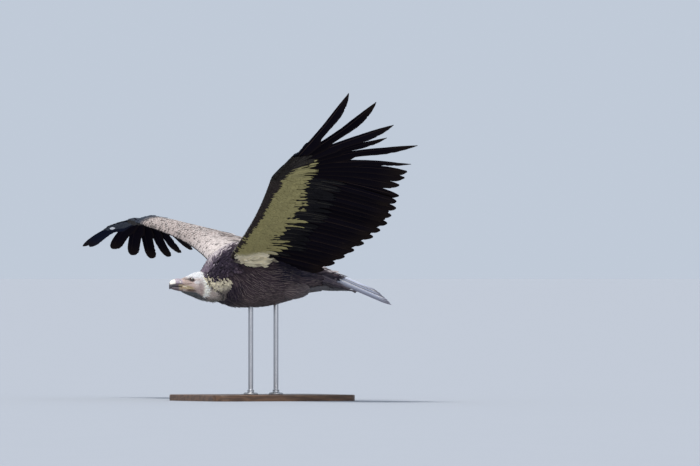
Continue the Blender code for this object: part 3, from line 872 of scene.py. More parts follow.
# ---------------------------------------------------------------- body
@dataclass(frozen=True)
class BodyForm:
    """The outer shape of head, neck and trunk: ovals along X, banked behind the neck."""

    table: tuple = (
        # x, top, bottom, half width
        (-0.3210, 0.0150, -0.0300, 0.0150), (-0.3060, 0.0210, -0.0372, 0.0195),
        (-0.2880, 0.0275, -0.0440, 0.0265), (-0.2680, 0.0365, -0.0510, 0.0315),
        (-0.2474, 0.0400, -0.0580, 0.0345), (-0.2380, 0.0402, -0.0600, 0.0400),
        (-0.2150, 0.0620, -0.0635, 0.0640), (-0.1900, 0.0970, -0.0670, 0.0850),
        (-0.1600, 0.1180, -0.0705, 0.0970), (-0.1100, 0.1420, -0.0840, 0.1060),
        (-0.0500, 0.1510, -0.0850, 0.1090), (0.0100, 0.1460, -0.0820, 0.1060),
        (0.0700, 0.1300, -0.0705, 0.0950), (0.1300, 0.1070, -0.0500, 0.0780),
        (0.1900, 0.0800, -0.0275, 0.0580), (0.2400, 0.0600, -0.0135, 0.0420),
        (0.2800, 0.0430, -0.0050, 0.0290))
    square: float = 0.92
    taper: float = 0.30
    head_end: float = -0.247
    level_x: float = -0.235
    rolled_x: float = -0.150
    roll: float = math.radians(6.5)

    def banked(self, points: Array) -> Array:
        """Turn points of the body by the bank, which the neck takes up.

        Args:
            points: points before the bank.

        Returns:
            The points after it.
        """
        x, y, z = np.moveaxis(points, -1, 0)
        angle = self.roll * fade(self.level_x, self.rolled_x, x)
        return np.stack((x, y * np.cos(angle) + z * np.sin(angle),
                         z * np.cos(angle) - y * np.sin(angle)), -1)

    def flat(self, x: Array, a: Array, shrink: float = 0.0) -> Array:
        """Return points of the oval at x and angle, before the bank.

        Args:
            x: places along the body.
            a: angles round it.
            shrink: how far inside the surface.

        Returns:
            The points.
        """
        top, bottom, half = stations(self.table, np.clip(x, BODY_NOSE, BODY_TAIL))
        top, bottom, half = top - shrink, bottom + shrink, half - shrink
        taper = self.taper * np.clip((x - self.head_end) / 0.1, 0.0, 1.0)
        draw = 1 - taper * np.maximum(np.sin(a), 0.0)
        middle, tall = (top + bottom) / 2, (top - bottom) / 2
        return np.stack((x + 0 * a, draw * half * power(np.cos(a), self.square),
                         middle + tall * power(np.sin(a), self.square)), -1)

    def point(self, x: Array, a: Array, h: Array) -> Array:
        """Return a point of the body's surface, at a height above it.

        Args:
            x: places along the body.
            a: angles round it.
            h: heights above the surface.

        Returns:
            The points.
        """
        x, a = np.broadcast_arrays(x, a)
        step, turn = 2e-3, 0.04
        ahead = self.flat(x + step, a) - self.flat(x - step, a)
        aside = self.flat(x, a + turn) - self.flat(x, a - turn)
        normal = unit(np.cross(aside, ahead))
        return self.banked(self.flat(x, a) + normal * np.asarray(h)[..., None])

    def girth(self, x: Array) -> Array:
        """Return the distance round the body at x."""
        top, bottom, half = stations(self.table, x)
        return math.pi * ((top - bottom) / 2 + half)


@dataclass(frozen=True)
class Collar:
    """Where the ruff starts and ends along X, by the angle away from the top of the neck."""

    turns: tuple = (0, 33, 55, 77, 92, 103, 116, 126, 135, 160, 180)
    starts: tuple = (-0.236, -0.235, -0.233, -0.2300, -0.2273, -0.2190, -0.2080, -0.1960, -0.1850,
                     -0.176, -0.173)
    ends: tuple = (-0.235, -0.234, -0.2260, -0.2110, -0.1920, -0.1730, -0.1580, -0.1620, -0.1720,
                   -0.170, -0.168)

    def away(self, a: Array) -> Array:
        """Return the angle away from the top, in degrees."""
        return np.abs((np.degrees(a) - 90 + 180) % 360 - 180)

    def front(self, a: Array) -> Array:
        """Return where the ruff starts at an angle."""
        return np.interp(self.away(a), self.turns, self.starts)

    def back(self, a: Array) -> Array:
        """Return where the ruff's tips end at an angle."""
        return np.interp(self.away(a), self.turns, self.ends)


COLLAR = Collar()


@dataclass(frozen=True)
class BodyMarks:
    """The colours of the body: pale mantle, dark shoulders, streaked flanks, pale rump."""

    mantle: Triple = (0.440, 0.385, 0.390)
    # painted highlight: pale lilac sheen of the light from above on the top of the dark shoulders
    lilac: Triple = (0.140, 0.108, 0.140)
    shoulder: Triple = (0.014, 0.009, 0.018)
    flank: Triple = (0.037, 0.024, 0.030)
    belly: Triple = (0.060, 0.042, 0.045)
    # painted shade: near-black on the flank under the wing's base, where the wing shades the body
    hollow: Triple = (0.008, 0.006, 0.015)
    axillar: Triple = (0.680, 0.600, 0.430)
    rump: Triple = (0.330, 0.290, 0.290)
    streak: Triple = (0.260, 0.205, 0.180)
    vent: Triple = (0.015, 0.011, 0.019)
    pit_x: tuple = (-0.127, -0.112, -0.077, -0.037, 0.003, 0.028)
    pit_low: tuple = (0.34, 0.18, 0.09, 0.10, 0.24, 0.50)

    def armpit(self, x: Array, a: Array) -> Array:
        """Return the share of the pale axillar patch at x and angle.

        Args:
            x: places along the body.
            a: angles round it.

        Returns:
            The share.
        """
        up = np.sin(a)
        shown = fade(-0.02, 0.05, up - np.interp(x, self.pit_x, self.pit_low))
        return shown * fade(-0.140, -0.118, x) * fade(0.020, 0.002, x) * fade(0.80, 0.70, up)

    def tone(self, x: Array, a: Array, stray: Amount = 0.0) -> Array:
        """Return the body tone at x and angle, with edges moved by a stray amount.

        Args:
            x: places along the body.
            a: angles round it.
            stray: how far each edge strays.

        Returns:
            The colours.
        """
        up = np.sin(a) + stray * 0.10
        back = up - 0.9 * np.maximum(x + 0.20, 0.0)
        colour = mixed(self.belly, self.flank, fade(-0.85, -0.2, up))
        for tone, share in (
                (self.shoulder, fade(-0.10, -0.15, x + stray * 0.01) * fade(-0.10, 0.25, up)),
                # painted shadow: the lower breast under the neck is darkened to the shoulder tone
                (self.shoulder, 0.9 * fade(-0.100, -0.135, x) * fade(-0.2, -0.6, up)),
                # painted shade under the wing's base, behind the axillar patch
                (self.hollow, fade(-0.02, 0.04, x) * fade(0.23, 0.17, x) * fade(-0.50, -0.05, up)),
                # painted highlight on the top of the shoulders
                (self.lilac, fade(0.80, 0.95, back)),
                (self.mantle, fade(0.925, 0.985, up) * fade(-0.225, -0.185, x)),
                (self.axillar, self.armpit(x + stray * 0.006, a + stray * 0.03)),
                (self.rump, fade(0.15, 0.22, x) * fade(0.60, 0.80, up)),
                (self.vent, fade(0.18, 0.25, x) * fade(0.55, 0.1, up))):
            colour = mixed(colour, tone, share)
        return colour

    def streaks(self, x: Array, a: Array) -> Array:
        """Return how strongly the shafts show pale.

        Args:
            x: places along the body.
            a: angles round it.

        Returns:
            The strengths.
        """
        up = np.sin(a)
        shown = 0.85 * fade(0.30, -0.05, up) * fade(0.25, 0.16, x) + 0.06
        shown = shown * (1 - 0.70 * fade(0.0, 0.06, x) * fade(-0.55, -0.15, up))
        shown = shown * (1 - 0.60 * fade(-0.135, -0.16, x))
        return np.clip(shown * (1 - self.armpit(x, a)), 0.0, 1.0)


@dataclass
class BodyCoat:
    """Contour feathers of breast, flanks, belly, mantle and rump."""

    form: BodyForm
    marks: BodyMarks = field(default_factory=BodyMarks)
    front: float = -0.250
    back: float = 0.262
    gap: float = 0.0100
    fluff_gap: float = 0.0062
    short: float = 0.034
    long: float = 0.064
    width: float = 0.0145
    seed: int = 11

    def lie(self, x: Array, a: Array) -> Array:
        """Return how far the feathers turn down from straight back: most at the breast.

        Args:
            x: places along the body.
            a: angles round it.

        Returns:
            The angles.
        """
        side = np.where(np.cos(a) < 0, 1.0, -1.0)
        down = math.radians(62) * fade(-0.02, -0.17, x) + math.radians(6) * fade(-0.1, 0.1, x)
        return side * down * fade(-1.0, -0.55, np.sin(a)) * fade(0.97, 0.6, np.sin(a))

    def spots(self, x: Array, a: Array) -> Array:
        """Return the places of feathers on the unwrap."""
        return wrapped(a, 0.01 + 0.98 * (x - self.front) / (self.back - self.front))

    def build(self) -> Pieces:
        """Lay the feathers and return the piece.

        Returns:
            The pieces.
        """
        rng = np.random.default_rng(self.seed)
        pile = Pile("plumage_body")
        self.contour(pile, rng)
        self.fluff(pile, rng)
        finish = PlumeFinish("body_feathers", shaft_width=0.15, sheen=0.05, gloss=0.12)
        return [pile.build(finish, "body")]

    def contour(self, pile: Pile, rng: np.random.Generator) -> None:
        """Add the pointed feathers, laid like shingles from the rump to the neck.

        Args:
            pile: what they are added to.
            rng: the random numbers.
        """
        rows = np.arange(self.back, self.front, -self.gap)
        girth = self.form.girth(rows)
        x, a, _ = grid(rows, (0.0, math.tau), self.gap, girth, rng, 0.32)
        kept = x > COLLAR.back(a) - 0.016
        x, a = x[kept], a[kept]
        up, count = np.sin(a), len(x)
        fluffy = fade(-0.12, -0.17, x) * fade(-0.05, 0.35, up)
        pit = self.marks.armpit(x, a)
        grown = self.short + (self.long - self.short) * fade(-0.21, -0.04, x)
        grown = grown * (1 - 0.35 * fade(0.20, 0.27, x)) * rng.uniform(0.82, 1.15, count)
        grown = grown * (1 - 0.40 * fluffy) * (1 - 0.30 * pit)
        width = self.width * rng.uniform(0.8, 1.15, count) * (1 - 0.2 * fade(0.15, 0.27, x))
        width = width * (1 - 0.3 * fade(-0.17, -0.21, x)) * (1 - 0.30 * fluffy)
        wave = 0.16 * np.sin(x * 55 + 2.5 * np.sin(a * 3))
        turn = self.lie(x, a) * (1 - 0.6 * pit) + wave
        turn = turn + rng.normal(0.0, 1.0, count) * (0.09 + 0.30 * fluffy)
        rise = 0.0062 + 0.0040 * fade(-0.16, -0.20, x) * fade(0.5, 0.9, up)
        lay = Lay(x, a, grown, width, turn, -0.0045 + rng.normal(0, 4e-4, count),
                  rise + rng.normal(0, 7e-4, count), bow=0.08, seed=self.seed)
        tip_x, tip_a = x + grown * 0.7 * np.cos(turn), a + grown * 0.5 * np.sin(turn) / 0.11
        tone = self.marks.tone(tip_x, tip_a, rng.normal(0, 1, count))
        tone = tone * rng.uniform(0.76, 1.24, (count, 1))
        streak = self.marks.streaks(x, a) * rng.uniform(0.55, 1.0, count)
        line = self.marks.streak * rng.uniform(0.75, 1.2, (count, 1))
        edge = np.minimum(tone * 1.55 + 0.010 + 0.006 * fluffy[:, None], 0.8)
        rim = rng.uniform(0.10, 0.40, count) + 0.10 * fluffy
        lay_vanes(pile, self.form.point, lay, Cut(0.55, 0.4, 0.35, 0.75, 8),
                  Marks.laid(tone, edge, rim, line, streak), self.spots(x, a))

    def fluff(self, pile: Pile, rng: np.random.Generator) -> None:
        """Add the soft short feathers that fill the shoulders behind the neck.

        Args:
            pile: what they are added to.
            rng: the random numbers.
        """
        rows = np.arange(-0.125, self.front, -self.fluff_gap)
        x, a, _ = grid(rows, (0.0, math.pi), self.fluff_gap, self.form.girth(rows) * 0.5, rng, 0.45)
        kept = (x > COLLAR.back(a) - 0.012) & (np.sin(a) > 0.05)
        x, a = x[kept], a[kept]
        count = len(x)
        lay = Lay(x, a, rng.uniform(0.014, 0.022, count), rng.uniform(0.0085, 0.0120, count),
                  self.lie(x, a) * 0.7 + rng.normal(0, 0.28, count), 0.0004,
                  rng.uniform(0.0035, 0.0065, count), bow=0.2, seed=self.seed + 1)
        tone = self.marks.tone(x + 0.010, a, rng.normal(0, 0.5, count))
        tone = tone * rng.uniform(0.70, 1.30, (count, 1))
        # about one shoulder feather in five takes some lilac: painted highlights
        tone = mixed(tone, self.marks.lilac, 0.20 * (rng.random(count) < 0.20))
        marks = Marks.laid(tone, np.minimum(tone * 1.3 + 0.003, 0.8), 0.3)
        lay_vanes(pile, self.form.point, lay, Cut(0.5, 0.4, 0.3, 0.8, 5, 0.12), marks,
                  self.spots(x, a))


# ---------------------------------------------------------------- wings
@dataclass
class WingForm:
    """One wing: an arched arm from shoulder to wrist and a fanned hand beyond it."""

    side: Side
    shoulder: Triple
    arm: Triple
    hand: Triple
    pitch: Pair
    camber: float
    bow: float
    lift: float
    lengths: tuple[float, ...]
    fan: tuple[float, ...]
    sags: tuple[float, ...]
    chords: Triple = (0.371, 0.232, -0.130)
    split: float = 0.40
    front: float = 0.14
    hand_length: float = 0.190
    hand_depth: float = 0.052
    first_quill: float = 0.018
    quills: int = 10

    def __post_init__(self) -> None:
        """Work out the wing's own axes."""
        self.start = np.array(self.shoulder)
        self.span = np.array(self.arm)
        self.reach = float(np.linalg.norm(self.span))
        along = unit(self.span)
        self.level = unit(np.array((1.0, 0, 0)) - along[0] * along)
        self.normal = np.cross(along, self.level) * -self.side.value
        self.wrist = self.start + self.span
        back, _ = self.axes(np.array(1.0))
        self.out = unit(self.hand)
        self.aft = unit(back - (back @ self.out) * self.out)
        self.rise = unit(np.cross(self.out, self.aft)) * -self.side.value
        self.root_angle = math.acos(float(self.out @ back))

    def axes(self, s: Array) -> tuple[Array, Array]:
        """Return the chord direction and upper normal at a span fraction.

        Args:
            s: span fractions.

        Returns:
            Both directions.
        """
        angle = np.radians(self.pitch[0] + (self.pitch[1] - self.pitch[0]) * s)[..., None]
        return (np.cos(angle) * self.level - np.sin(angle) * self.normal,
                np.sin(angle) * self.level + np.cos(angle) * self.normal)

    def chord(self, s: Amount) -> Array:
        """Return the distance from leading to trailing edge."""
        root, grow, bend = self.chords
        return root + grow * s + bend * s * s

    def arch(self, t: Array) -> Array:
        """Return the height of the arched middle surface, in chords."""
        return self.camber * np.sin(math.pi * np.clip(t, 0.0, 1.0) ** 0.7)

    def arm_point(self, s: Array, t: Array, h: Array) -> Array:
        """Return a point of the arm: span fraction, chord fraction, height above the middle.

        Args:
            s: span fractions.
            t: chord fractions.
            h: heights above the middle surface.

        Returns:
            The points.
        """
        s, t, h = np.broadcast_arrays(np.asarray(s, float), t, h)
        back, up = self.axes(s)
        chord, along = self.chord(s), np.clip(s, 0.0, 1.0)
        dent = 0.012 * np.sin(math.pi * along)
        rise = self.arch(t) * chord + h + self.bow * np.sin(math.pi * along**0.75)
        return (self.start + self.span * s[..., None] + back * (dent + t * chord)[..., None]
                + up * rise[..., None])

    def hand_point(self, x: Array, y: Array, h: Array) -> Array:
        """Return a point of the hand: along its leading edge, behind it, above it.

        Args:
            x: places along the leading edge.
            y: distances behind the leading edge.
            h: heights above the middle surface.

        Returns:
            The points.
        """
        x, y, h = np.broadcast_arrays(np.asarray(x, float), y, h)
        reach, angle = np.hypot(x, y), np.arctan2(y, x)
        towards = np.clip(angle / self.root_angle, 0.0, 1.0) ** 1.5
        chord = self.chord(1.0)
        arched = self.arch(np.minimum(reach / chord, 1.0)) * chord * (0.25 + 0.75 * towards)
        bend = self.lift * (reach / 0.70) ** 2 * np.cos(angle * 0.9)
        return (self.wrist + self.out * x[..., None] + self.aft * y[..., None]
                + self.rise * (arched + bend + h)[..., None])

    def arm_depth(self, s: Array, t: Array, face: Face) -> Array:
        """Return how far a face of the arm stands from its middle surface.

        Args:
            s: span fractions.
            t: chord fractions.
            face: the upper or the lower face.

        Returns:
            The distances.
        """
        deep = 0.046 - 0.020 * s
        front = np.sqrt(np.maximum(0.0, 1 - (1 - np.clip(t / self.front, 0.0, 1.0)) ** 2))
        rear = 1 - 0.84 * np.clip((t - self.front) / (self.split - self.front), 0.0, 1.0) ** 0.8
        share = 0.55 if face is Face.UPPER else 0.45
        plate = 0.0035 * (1 - np.clip((t - self.split) / (1 - self.split), 0.0, 1.0)) + 0.0006
        return np.where(t < self.split, np.maximum(deep * front * rear, 0.003) * share,
                        np.minimum(plate, deep * 0.16 * share))

    def depth(self, r: Array) -> Array:
        """Return how deep the hand's flesh is at a share of its length."""
        return self.hand_depth * (1 - 0.62 * r) * (1 + 0.5 * (1 - r) ** 3)

    def hand_thick(self, x: Array, y: Array, face: Face) -> Array:
        """Return how far a face of the hand stands from its middle surface.

        Args:
            x: places along the leading edge.
            y: distances behind the leading edge.
            face: the upper or the lower face.

        Returns:
            The distances.
        """
        r = np.clip(x / self.hand_length, 0.0, 1.0)
        profile = ((0.0, 0.40, 0.55, 0.45, 0.30, 0.10) if face is Face.UPPER
                   else (0.0, 0.36, 0.45, 0.42, 0.30, 0.10))
        return 0.024 * (1 - 0.5 * r) * np.interp(y / self.depth(r), (0, 0.1, 0.3, 0.6, 1.0, 2.2),
                                                 profile)

    def arm_surface(self, face: Face) -> Surface:
        """Return the arm's upper or lower face as a surface of chord and span fraction."""
        return lambda t, s, h: self.arm_point(s, t, face.value * (self.arm_depth(s, t, face) + h))

    def hand_surface(self, face: Face, least: float = 0.0) -> Surface:
        """Return a face of the hand as a surface of its plane's axes, of a least thickness."""
        return lambda x, y, h: self.hand_point(
            x, y, face.value * (np.maximum(self.hand_thick(x, y, face), least) + h))

    def quill_root(self, number: Amount) -> Array:
        """Return where a primary leaves the hand, in the hand's own plane.

        Args:
            number: the primary's number, from the wrist out.

        Returns:
            Its place along and behind the leading edge.
        """
        r = (np.asarray(number, float) - 1) / (self.quills - 1)
        return np.stack((self.first_quill + (self.hand_length - self.first_quill) * r,
                         self.hand_depth * (1 - 0.62 * r) * 0.9), -1)

    def fan_angle(self, x: Array) -> Array:
        """Return the lie of the hand's feathers at a place along it, in radians."""
        places = np.append(-0.03, self.quill_root(np.arange(1, self.quills + 1))[:, 0])
        return np.interp(x, places, np.append(self.root_angle, np.radians(self.fan)))


LEFT_WING = WingForm(
    Side.LEFT, (-0.158, -0.088, 0.108), (-0.066, -0.445, 0.258), (-0.011, -0.932, 0.360),
    (12.0, 14.0), camber=0.070, bow=0.0, lift=0.072,
    lengths=(0.419, 0.403, 0.412, 0.410, 0.414, 0.460, 0.392, 0.441, 0.496, 0.484),
    fan=(79.3, 68.9, 60.5, 51.4, 42.7, 31.2, 28.6, 19.6, 12.5, -1.4),
    sags=(0.035, 0.07, 0.11, 0.20, 0.28, 0.25, 0.09, 0.145, -0.02, 0.0))
RIGHT_WING = WingForm(
    Side.RIGHT, (-0.172, 0.090, 0.080), (-0.045, 0.5015, 0.1345), (0.2752, 0.9594, 0.0625),
    (1.5, 12.7), camber=0.076, bow=0.0165, lift=-0.147,
    lengths=(0.410, 0.408, 0.402, 0.455, 0.508, 0.541, 0.530, 0.494, 0.510, 0.503),
    fan=(57.0, 45.6, 34.2, 26.6, 21.2, 14.9, 8.1, 0.5, -7.7, -10.1), sags=(0.035,) * 10)


@dataclass(frozen=True)
class WingMarks:
    """The colours of the wing coverts on both faces, and the edges of the cream panel."""

    # painted shade: the underwing coverts' cream, darkened well below their own pale cream to stand
    # for the shade under the wing
    cream: Triple = (0.335, 0.290, 0.125)
    white: Triple = (0.900, 0.800, 0.600)
    band: Triple = (0.030, 0.022, 0.019)
    black: Triple = (0.0030, 0.0025, 0.0042)
    upper: Triple = (0.310, 0.255, 0.235)
    pale: Triple = (0.680, 0.610, 0.580)
    greater: Triple = (0.060, 0.048, 0.046)
    # painted sheen: the dark brown hand coverts are given a blue-grey cast, the sky's sheen on them
    hand: Triple = (0.030, 0.037, 0.053)
    streak: Triple = (0.190, 0.165, 0.120)
    # painted shade: shaft colour of the shaded cream coverts
    cream_shaft: Triple = (0.25, 0.2, 0.1)
    front_edge: tuple = ((-0.15, 0.040), (0.0, 0.050), (0.35, 0.055), (0.5, 0.072), (0.75, 0.086),
                         (0.9, 0.110), (1.0, 0.125), (1.1, 0.15))
    rear_edge: tuple = ((-0.15, 0.44), (-0.02, 0.44), (0.05, 0.52), (0.13, 0.50), (0.19, 0.36),
                        (0.27, 0.33), (0.35, 0.44), (0.45, 0.40), (0.60, 0.39), (0.73, 0.36),
                        (0.88, 0.32), (1.0, 0.36), (1.1, 0.37))
    hand_front: tuple = ((-0.05, 0.055), (0.0, 0.058), (0.09, 0.056), (0.16, 0.079), (0.21, 0.09))
    hand_rear: tuple = ((0.0, 0.168), (0.03, 0.165), (0.105, 0.16), (0.13, 0.15), (0.21, 0.12))

    def arm_under(self, s: Array, tip: Array, rng: np.random.Generator) -> Marks:
        """Return the colours of underwing coverts of the arm.

        Args:
            s: the span fraction of each root.
            tip: the chord fraction that each tip reaches.
            rng: the random numbers.

        Returns:
            The marks.
        """
        count = len(s)
        shade = rng.uniform(0.80, 1.18, (count, 1))
        front = np.interp(s, *zip(*self.front_edge)) + rng.normal(0, 0.010, count)
        rear = np.interp(s, *zip(*self.rear_edge)) + rng.normal(0, 0.012, count)
        pale = (tip > front) & (tip < rear + 0.035 - 0.05 * fade(0.02, -0.05, s))
        shown = pale[:, None]
        dark = np.where((tip < 0.25)[:, None], self.band, self.black)
        # the cream laid here is darkened as painted shade of the underwing
        tone = mixed(np.where(shown, self.cream, dark), self.white, fade(0.04, -0.05, s) * pale)
        tone = tone * np.where(shown, rng.uniform(0.88, 1.08, (count, 1)), shade)
        line = np.where(shown, tone.mean(0) * 0.8, self.streak)
        strength = np.where(pale, 0.15, 0.45 * 0.75 * (rng.random(count) < 0.4))
        rim = np.where(pale, 0.35, np.where(tip > 0.36, 0.04, 0.25))
        return Marks.laid(tone, np.where(shown, tone * 1.18, tone * 1.8 + 0.004), rim, line,
                          strength)

    def arm_upper(self, s: Array, t: Array, side: Side, rng: np.random.Generator) -> Marks:
        """Return the colours of upper coverts of the arm.

        Args:
            s: the span fraction of each root.
            t: the chord fraction of each root.
            side: the left wing's leading edge is dark.
            rng: the random numbers.

        Returns:
            The marks.
        """
        count = len(s)
        shade = rng.uniform(0.80, 1.18, (count, 1))
        tone = mixed(self.upper, self.pale, fade(0.45, -0.05, s) * 0.75)
        speckled = rng.random(count) < 0.10 + 0.34 * fade(0.0, 0.6, s)
        tone = np.where(speckled[:, None], tone * 0.30, tone)
        # towards the wrist the coverts take the hand's blue-grey, a painted sheen
        tone = mixed(tone, self.hand, fade(0.90, 1.0, s))
        if side is Side.LEFT:
            tone = mixed(tone, self.band, fade(0.040, 0.010, t))
        tone = mixed(tone, self.greater, fade(0.28, 0.31, t) * 0.85)
        rim = (1.0 - 0.5 * fade(0.88, 0.98, s)) * rng.uniform(0.7, 1.0, count)
        edge = mixed(self.pale, np.array(self.hand) * 1.8, fade(0.90, 1.0, s))
        return Marks.laid(tone * shade, edge, rim, tone * 0.45, 0.5)

    def hand_coverts(self, face: Face, tip_x: Array, tip_y: Array,
                     rng: np.random.Generator) -> Marks:
        """Return the colours of hand coverts, by where their tips reach.

        Args:
            face: the upper or the lower face.
            tip_x: how far along the hand each tip reaches.
            tip_y: how far behind its leading edge.
            rng: the random numbers.

        Returns:
            The marks.
        """
        count = len(tip_x)
        shade = rng.uniform(0.8, 1.2, (count, 1))
        if face is Face.UPPER:
            # upper hand coverts in the blue-grey hand tone, a painted sheen
            tone = self.hand * shade
            return Marks.laid(tone, tone * 1.9 + 0.02, 0.35, tone * 0.5, 0.4)
        wave = rng.normal(0, 0.006, count)
        front = np.interp(tip_x, *zip(*self.hand_front)) + wave
        rear = np.interp(tip_x, *zip(*self.hand_rear)) + wave
        pale = (tip_y > front) & (tip_y < rear + 0.016) & (tip_x < 0.225)
        shown = pale[:, None]
        dark = np.where((tip_y < 0.09)[:, None], np.array(self.band) * 0.45, self.black)
        # the cream laid here is darkened as painted shade of the underwing
        tone = np.where(shown, self.cream, dark) * shade
        return Marks.laid(tone, np.where(shown, tone * 1.15, tone * 1.6 + 0.003), 0.3,
                          np.where(shown, self.cream_shaft, self.streak),
                          np.where(pale, 0.12, 0.35))


@dataclass
class WingCoat:
    """Covert feathers in rows over the arm and the hand, on both faces."""

    form: WingForm
    marks: WingMarks = field(default_factory=WingMarks)
    inner: float = -0.07
    rows: tuple = (
        # chord fraction, length, width, gap along the row
        (0.300, 0.125, 0.0250, 0.0200), (0.265, 0.092, 0.0210, 0.0165),
        (0.232, 0.070, 0.0190, 0.0140), (0.203, 0.058, 0.0170, 0.0125),
        (0.176, 0.050, 0.0155, 0.0115), (0.151, 0.045, 0.0145, 0.0105),
        (0.128, 0.041, 0.0135, 0.0098), (0.107, 0.037, 0.0125, 0.0092),
        (0.088, 0.033, 0.0118, 0.0086), (0.071, 0.030, 0.0110, 0.0080),
        (0.055, 0.027, 0.0102, 0.0075), (0.041, 0.024, 0.0095, 0.0070),
        (0.029, 0.021, 0.0088, 0.0066), (0.018, 0.019, 0.0082, 0.0062),
        (0.009, 0.017, 0.0076, 0.0058), (0.002, 0.015, 0.0070, 0.0054))
    hand_rows: tuple = (
        # distance behind the leading edge, length, width, gap along the row
        (0.058, 0.098, 0.0180, 0.0120), (0.046, 0.078, 0.0165, 0.0110),
        (0.036, 0.060, 0.0150, 0.0100), (0.028, 0.047, 0.0135, 0.0090),
        (0.021, 0.038, 0.0120, 0.0082), (0.015, 0.031, 0.0108, 0.0075),
        (0.010, 0.025, 0.0095, 0.0068), (0.0055, 0.020, 0.0085, 0.0062),
        (0.0015, 0.016, 0.0075, 0.0056))
    outer_rows: tuple = (0.028, 0.021, 0.014, 0.008, 0.002, -0.003)
    outer_start: float = 0.150
    outer_end: float = 0.400
    outer_gap: float = 0.0105
    white: Pair = (0.371, 0.384)
    white_rows: Pair = (0.001, 0.009)

    def arm(self, pile: Pile, face: Face, rng: np.random.Generator) -> None:
        """Lay the coverts of the arm on one face.

        Args:
            pile: what they are added to.
            face: the upper or the lower face.
            rng: the random numbers.
        """
        form = self.form
        places, longs, wides, gaps = np.transpose(self.rows)
        t, s, row = grid(places, (self.inner, 1.015), gaps, form.reach * (1.0 - self.inner), rng,
                         0.22)
        count = len(t)
        grown = longs[row] * rng.uniform(0.88, 1.12, count) * (1 - 0.55 * fade(0.06, -0.05, s))
        wide = wides[row] * rng.uniform(0.9, 1.1, count)
        turn = math.radians(10) * (fade(0.0, 1.0, s) - fade(0.12, -0.08, s))
        turn = turn + rng.normal(0.0, 0.07, count)
        greater = t > 0.25
        lift = np.where(greater, -0.0006, -0.0026) + rng.normal(0, 3e-4, count)
        rise = np.where(greater, 0.0032, 0.0042) + rng.normal(0, 4e-4, count)
        lay = Lay(np.maximum(t, 0.0015), s, grown, wide, turn, lift, rise, bow=0.05, seed=31)
        marks = (self.marks.arm_upper(s, t, form.side, rng) if face is Face.UPPER
                 else self.marks.arm_under(s, t + grown / form.chord(s), rng))
        spots = np.stack((0.02 + 0.62 * (s - self.inner) / (1.02 - self.inner),
                          0.02 + 0.96 * t / 0.32), -1)
        lay_vanes(pile, form.arm_surface(face), lay, Cut(), marks, spots)

    def hand(self, pile: Pile, face: Face, rng: np.random.Generator) -> None:
        """Lay the coverts of the hand on one face.

        Args:
            pile: what they are added to.
            face: the upper or the lower face.
            rng: the random numbers.
        """
        form, deepest = self.form, self.hand_rows[0][0]
        for depth, long, wide, gap in self.hand_rows:
            start = depth / math.tan(form.root_angle) - 0.006
            limit = form.hand_length * (1.0 - 0.10 * (depth / deepest))
            count = max(6, int(round((limit - start) / gap)))
            x = start + (limit - start) * (np.arange(count) + rng.uniform(0.1, 0.9, count)) / count
            y = depth * (1 - 0.45 * np.clip(x / form.hand_length, 0, 1))
            y = y + rng.normal(0, 8e-4, count)
            turn = form.fan_angle(x) * (0.55 + 0.45 * depth / deepest) + rng.normal(0, 0.05, count)
            grown = long * rng.uniform(0.88, 1.1, count) * (1 - 0.15 * fade(0.1, 0.19, x))
            lay = Lay(x, np.maximum(y, 5e-4), grown, wide, turn, -0.0022 if depth < 0.04 else -4e-4,
                      0.0036, bow=0.04, seed=int(depth * 1e4) + 5)
            marks = self.marks.hand_coverts(face, x + grown * np.cos(turn),
                                            y + grown * np.sin(turn), rng)
            spots = np.stack((0.68 + 0.30 * (x + 0.02) / 0.22, 0.02 + 0.96 * y / 0.062), -1)
            lay_vanes(pile, form.hand_surface(face), lay, Cut(), marks, spots)

    def outer_hand(self, pile: Pile, face: Face, rng: np.random.Generator) -> None:
        """Lay the long coverts that reach out over the roots of the outermost quills.

        Args:
            pile: what they are added to.
            face: the upper or the lower face.
            rng: the random numbers.
        """
        form = self.form
        root, angle = form.quill_root(form.quills), math.radians(form.fan[-1])
        for offset in self.outer_rows:
            end = self.outer_end if form.side is Side.RIGHT else 0.64 * self.outer_end
            x = np.arange(self.outer_start, end - 3.0 * max(offset, 0.0), self.outer_gap)
            x = x + rng.uniform(-0.003, 0.003, len(x))
            count = len(x)
            y = root[1] + math.tan(angle) * (x - root[0]) + offset + rng.normal(0, 6e-4, count)
            turn = angle + math.radians(3) + rng.normal(0, 0.05, count)
            white = (x > self.white[0]) & (x < self.white[1]) & (
                self.white_rows[0] < offset < self.white_rows[1])
            grown = np.where(white, 0.022, rng.uniform(0.046, 0.062, count))
            lay = Lay(x, y, grown, 0.0120 + 0.003 * white, turn, -0.0008 + 0.0030 * white,
                      0.0012 + 0.0012 * white, bow=0.04, seed=int(abs(offset) * 1e4) + 90)
            # long outer coverts in the blue-grey hand tone, a painted sheen
            tone = self.marks.hand * rng.uniform(0.7, 1.2, (count, 1))
            tone[white] = 0.95
            spots = np.column_stack((0.68 + 0.30 * (x + 0.02) / 0.44,
                                     np.full(count, 0.50 + 8.0 * offset)))
            lay_vanes(pile, form.hand_surface(face, 0.0026), lay, Cut(),
                      Marks.laid(tone, np.minimum(tone * 1.5, 0.9), 0.3, tone * 0.6, 0.3), spots)

    def build(self) -> Pieces:
        """Lay both faces and return their pieces.

        Returns:
            The pieces.
        """
        made, side = [], self.form.side
        for face in Face:
            rng = np.random.default_rng(101 + face.value * 7 + side.value)
            pile = Pile(f"coverts_{face.name.lower()}_{side.word}")
            self.arm(pile, face, rng)
            self.hand(pile, face, rng)
            if face is Face.UPPER or side is Side.RIGHT:
                self.outer_hand(pile, face, rng)
            made.append(pile.build(
                PlumeFinish(f"{face.name.lower()}_coverts_{side.word}", barbs=24.0,
                            shaft_width=0.10, sheen=0.02, gloss=0.08), "covert"))
        return made


